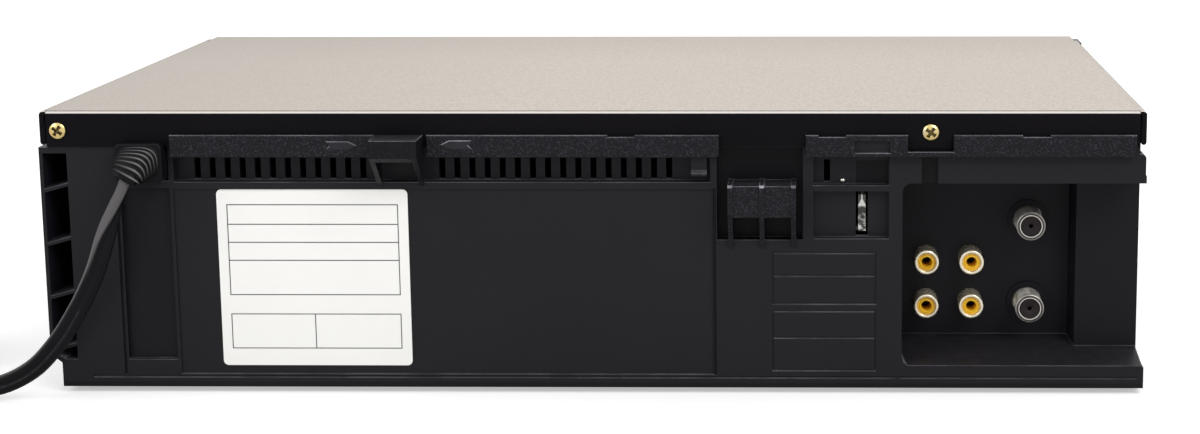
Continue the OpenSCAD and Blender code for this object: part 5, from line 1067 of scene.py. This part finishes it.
# ---------------------------------------------------------------- power supply
# The transformer is a stack of varnished steel sheets round a taped copper winding. The smoothing capacitors
# are cans in dark sleeves with bare tops, and the heatsink is a finned extrusion of aluminium.
WINDING_BOX = (0.1, 0.05, 0.01962), (0.17, 0.09, 0.03958)
core_steel = finish("core_steel", tone(88, 86, 84), 0.4, drift=0.14, cloud=0.006, grain=0.0004,
                    relief=0.00001, metallic=0.8)
tree = core_steel.node_tree
spot = place_of(tree)
height = split(tree, spot)["Z"]
repaint(core_steel, product(tree, stripes(tree, height, 1600.0, 0.3), 0.5), tone(40, 38, 38))
winding = within(tree, spot, *WINDING_BOX)
repaint(core_steel, winding, tone(206, 158, 60))
repaint(core_steel, product(tree, winding, stripes(tree, height, 400.0, 0.12), 0.6), tone(150, 92, 44))
dress(core_steel, "transformer")
sleeve = finish("sleeve", tone(24, 32, 62), 0.22, drift=0.1, cloud=0.01, grain=0.0005, relief=0.000005)
tree = sleeve.node_tree
repaint(sleeve, maths(tree, "GREATER_THAN", facing_up(tree), 0.6), tone(196, 198, 200))
dress(sleeve, "capacitors")
aluminium = finish("extruded_aluminium", tone(190, 192, 195), 0.34, drift=0.06, cloud=0.01, grain=0.0003,
                   relief=0.000006, metallic=1.0, stretch=(1, 1, 0.1))
dress(aluminium, "heatsink")

# ---------------------------------------------------------------- deck plates and carriage
# The deck plate, the carriage's side plates, the slides, the arms and the motor's can are pressed from
# zinc-coated sheet, whose coat has frozen in small crystals. The cassette holder is lacquered sheet.
zinc_sheet = finish("zinc_sheet", tone(178, 181, 185), 0.34, drift=0.06, cloud=0.02, grain=0.0004,
                    relief=0.000006, metallic=1.0)
tree = zinc_sheet.node_tree
crystals = add_node(tree, "TexVoronoi", {"Vector": place_of(tree), "Scale": 170.0})
repaint(zinc_sheet, product(tree, split(tree, crystals.outputs["Color"])["X"], 0.4), tone(134, 140, 148))
dress(zinc_sheet, "deck_plate", "carriage_frame", "carriage_slider", "idler_arm", "pinch_arm", "tension_arm",
      "loading_motor")
lacquered_steel = finish("lacquered_steel", tone(168, 170, 172), 0.26, drift=0.06, cloud=0.03, grain=0.0003,
                         relief=0.000005, metallic=1.0, stretch=(0.08, 1, 1), coat=0.3)
dress(lacquered_steel, "cassette_holder")

# ---------------------------------------------------------------- head drum and ground shafts
# Both halves of the drum are turned from aluminium and show fine tool rings. The rotor, the capstan and the
# heads' faces are ground steel, and the capstan runs in a bush of sintered bronze.
turned = finish("turned_aluminium", tone(206, 208, 210), 0.2, drift=0.04, cloud=0.02, grain=0.0004,
                relief=0.000006, metallic=1.0, stretch=(0.06, 0.06, 1), rough_drift=0.05)
dress(turned, "lower_drum", "head_drum")
ground_steel = finish("ground_steel", tone(176, 178, 182), 0.16, drift=0.05, cloud=0.004, grain=0.0002,
                      relief=0.000003, metallic=1.0, stretch=(1, 1, 6), rough_drift=0.05)
dress(ground_steel, "drum_rotor", "capstan", "audio_head", "erase_head")
bronze = finish("bronze", tone(176, 142, 92), 0.42, drift=0.12, cloud=0.003, grain=0.0003, relief=0.00001,
                metallic=1.0)
dress(bronze, "capstan_bearing")

# ---------------------------------------------------------------- reels, clutch, gears and guides
# Reel tables, cam gear and worm are moulded in off-white acetal, the clutch in grey. Rollers, idler tyre and
# belt are black rubber, and each tape guide is a brass block that carries a bright post and roller.
ROLLER_FROM = 0.0274  # metres; above it a guide's solid is its post and roller
acetal = finish("acetal", tone(226, 224, 216), 0.36, drift=0.04, cloud=0.01, grain=0.0004, relief=0.000006)
# Painted highlights on the upward edges of the acetal parts.
paint_edge_highlight(acetal, 0.0004, tone(248, 247, 244), 0.5)
dress(acetal, "supply_reel", "take_up_reel", "cam_gear", "worm")
grey_acetal = finish("grey_acetal", tone(84, 84, 88), 0.4, drift=0.08, cloud=0.006, grain=0.0004,
                     relief=0.000006)
dress(grey_acetal, "clutch_pulley")
dress(rubber, "pinch_roller", "idler_wheel", "drive_belt")
guide_brass = finish("guide_brass", tone(204, 180, 116), 0.24, drift=0.1, cloud=0.004, grain=0.0003,
                     relief=0.000005, metallic=1.0)
tree = guide_brass.node_tree
roller = maths(tree, "GREATER_THAN", split(tree, place_of(tree))["Z"], ROLLER_FROM)
repaint(guide_brass, roller, tone(196, 198, 200))
dress(guide_brass, "supply_guide", "take_up_guide")
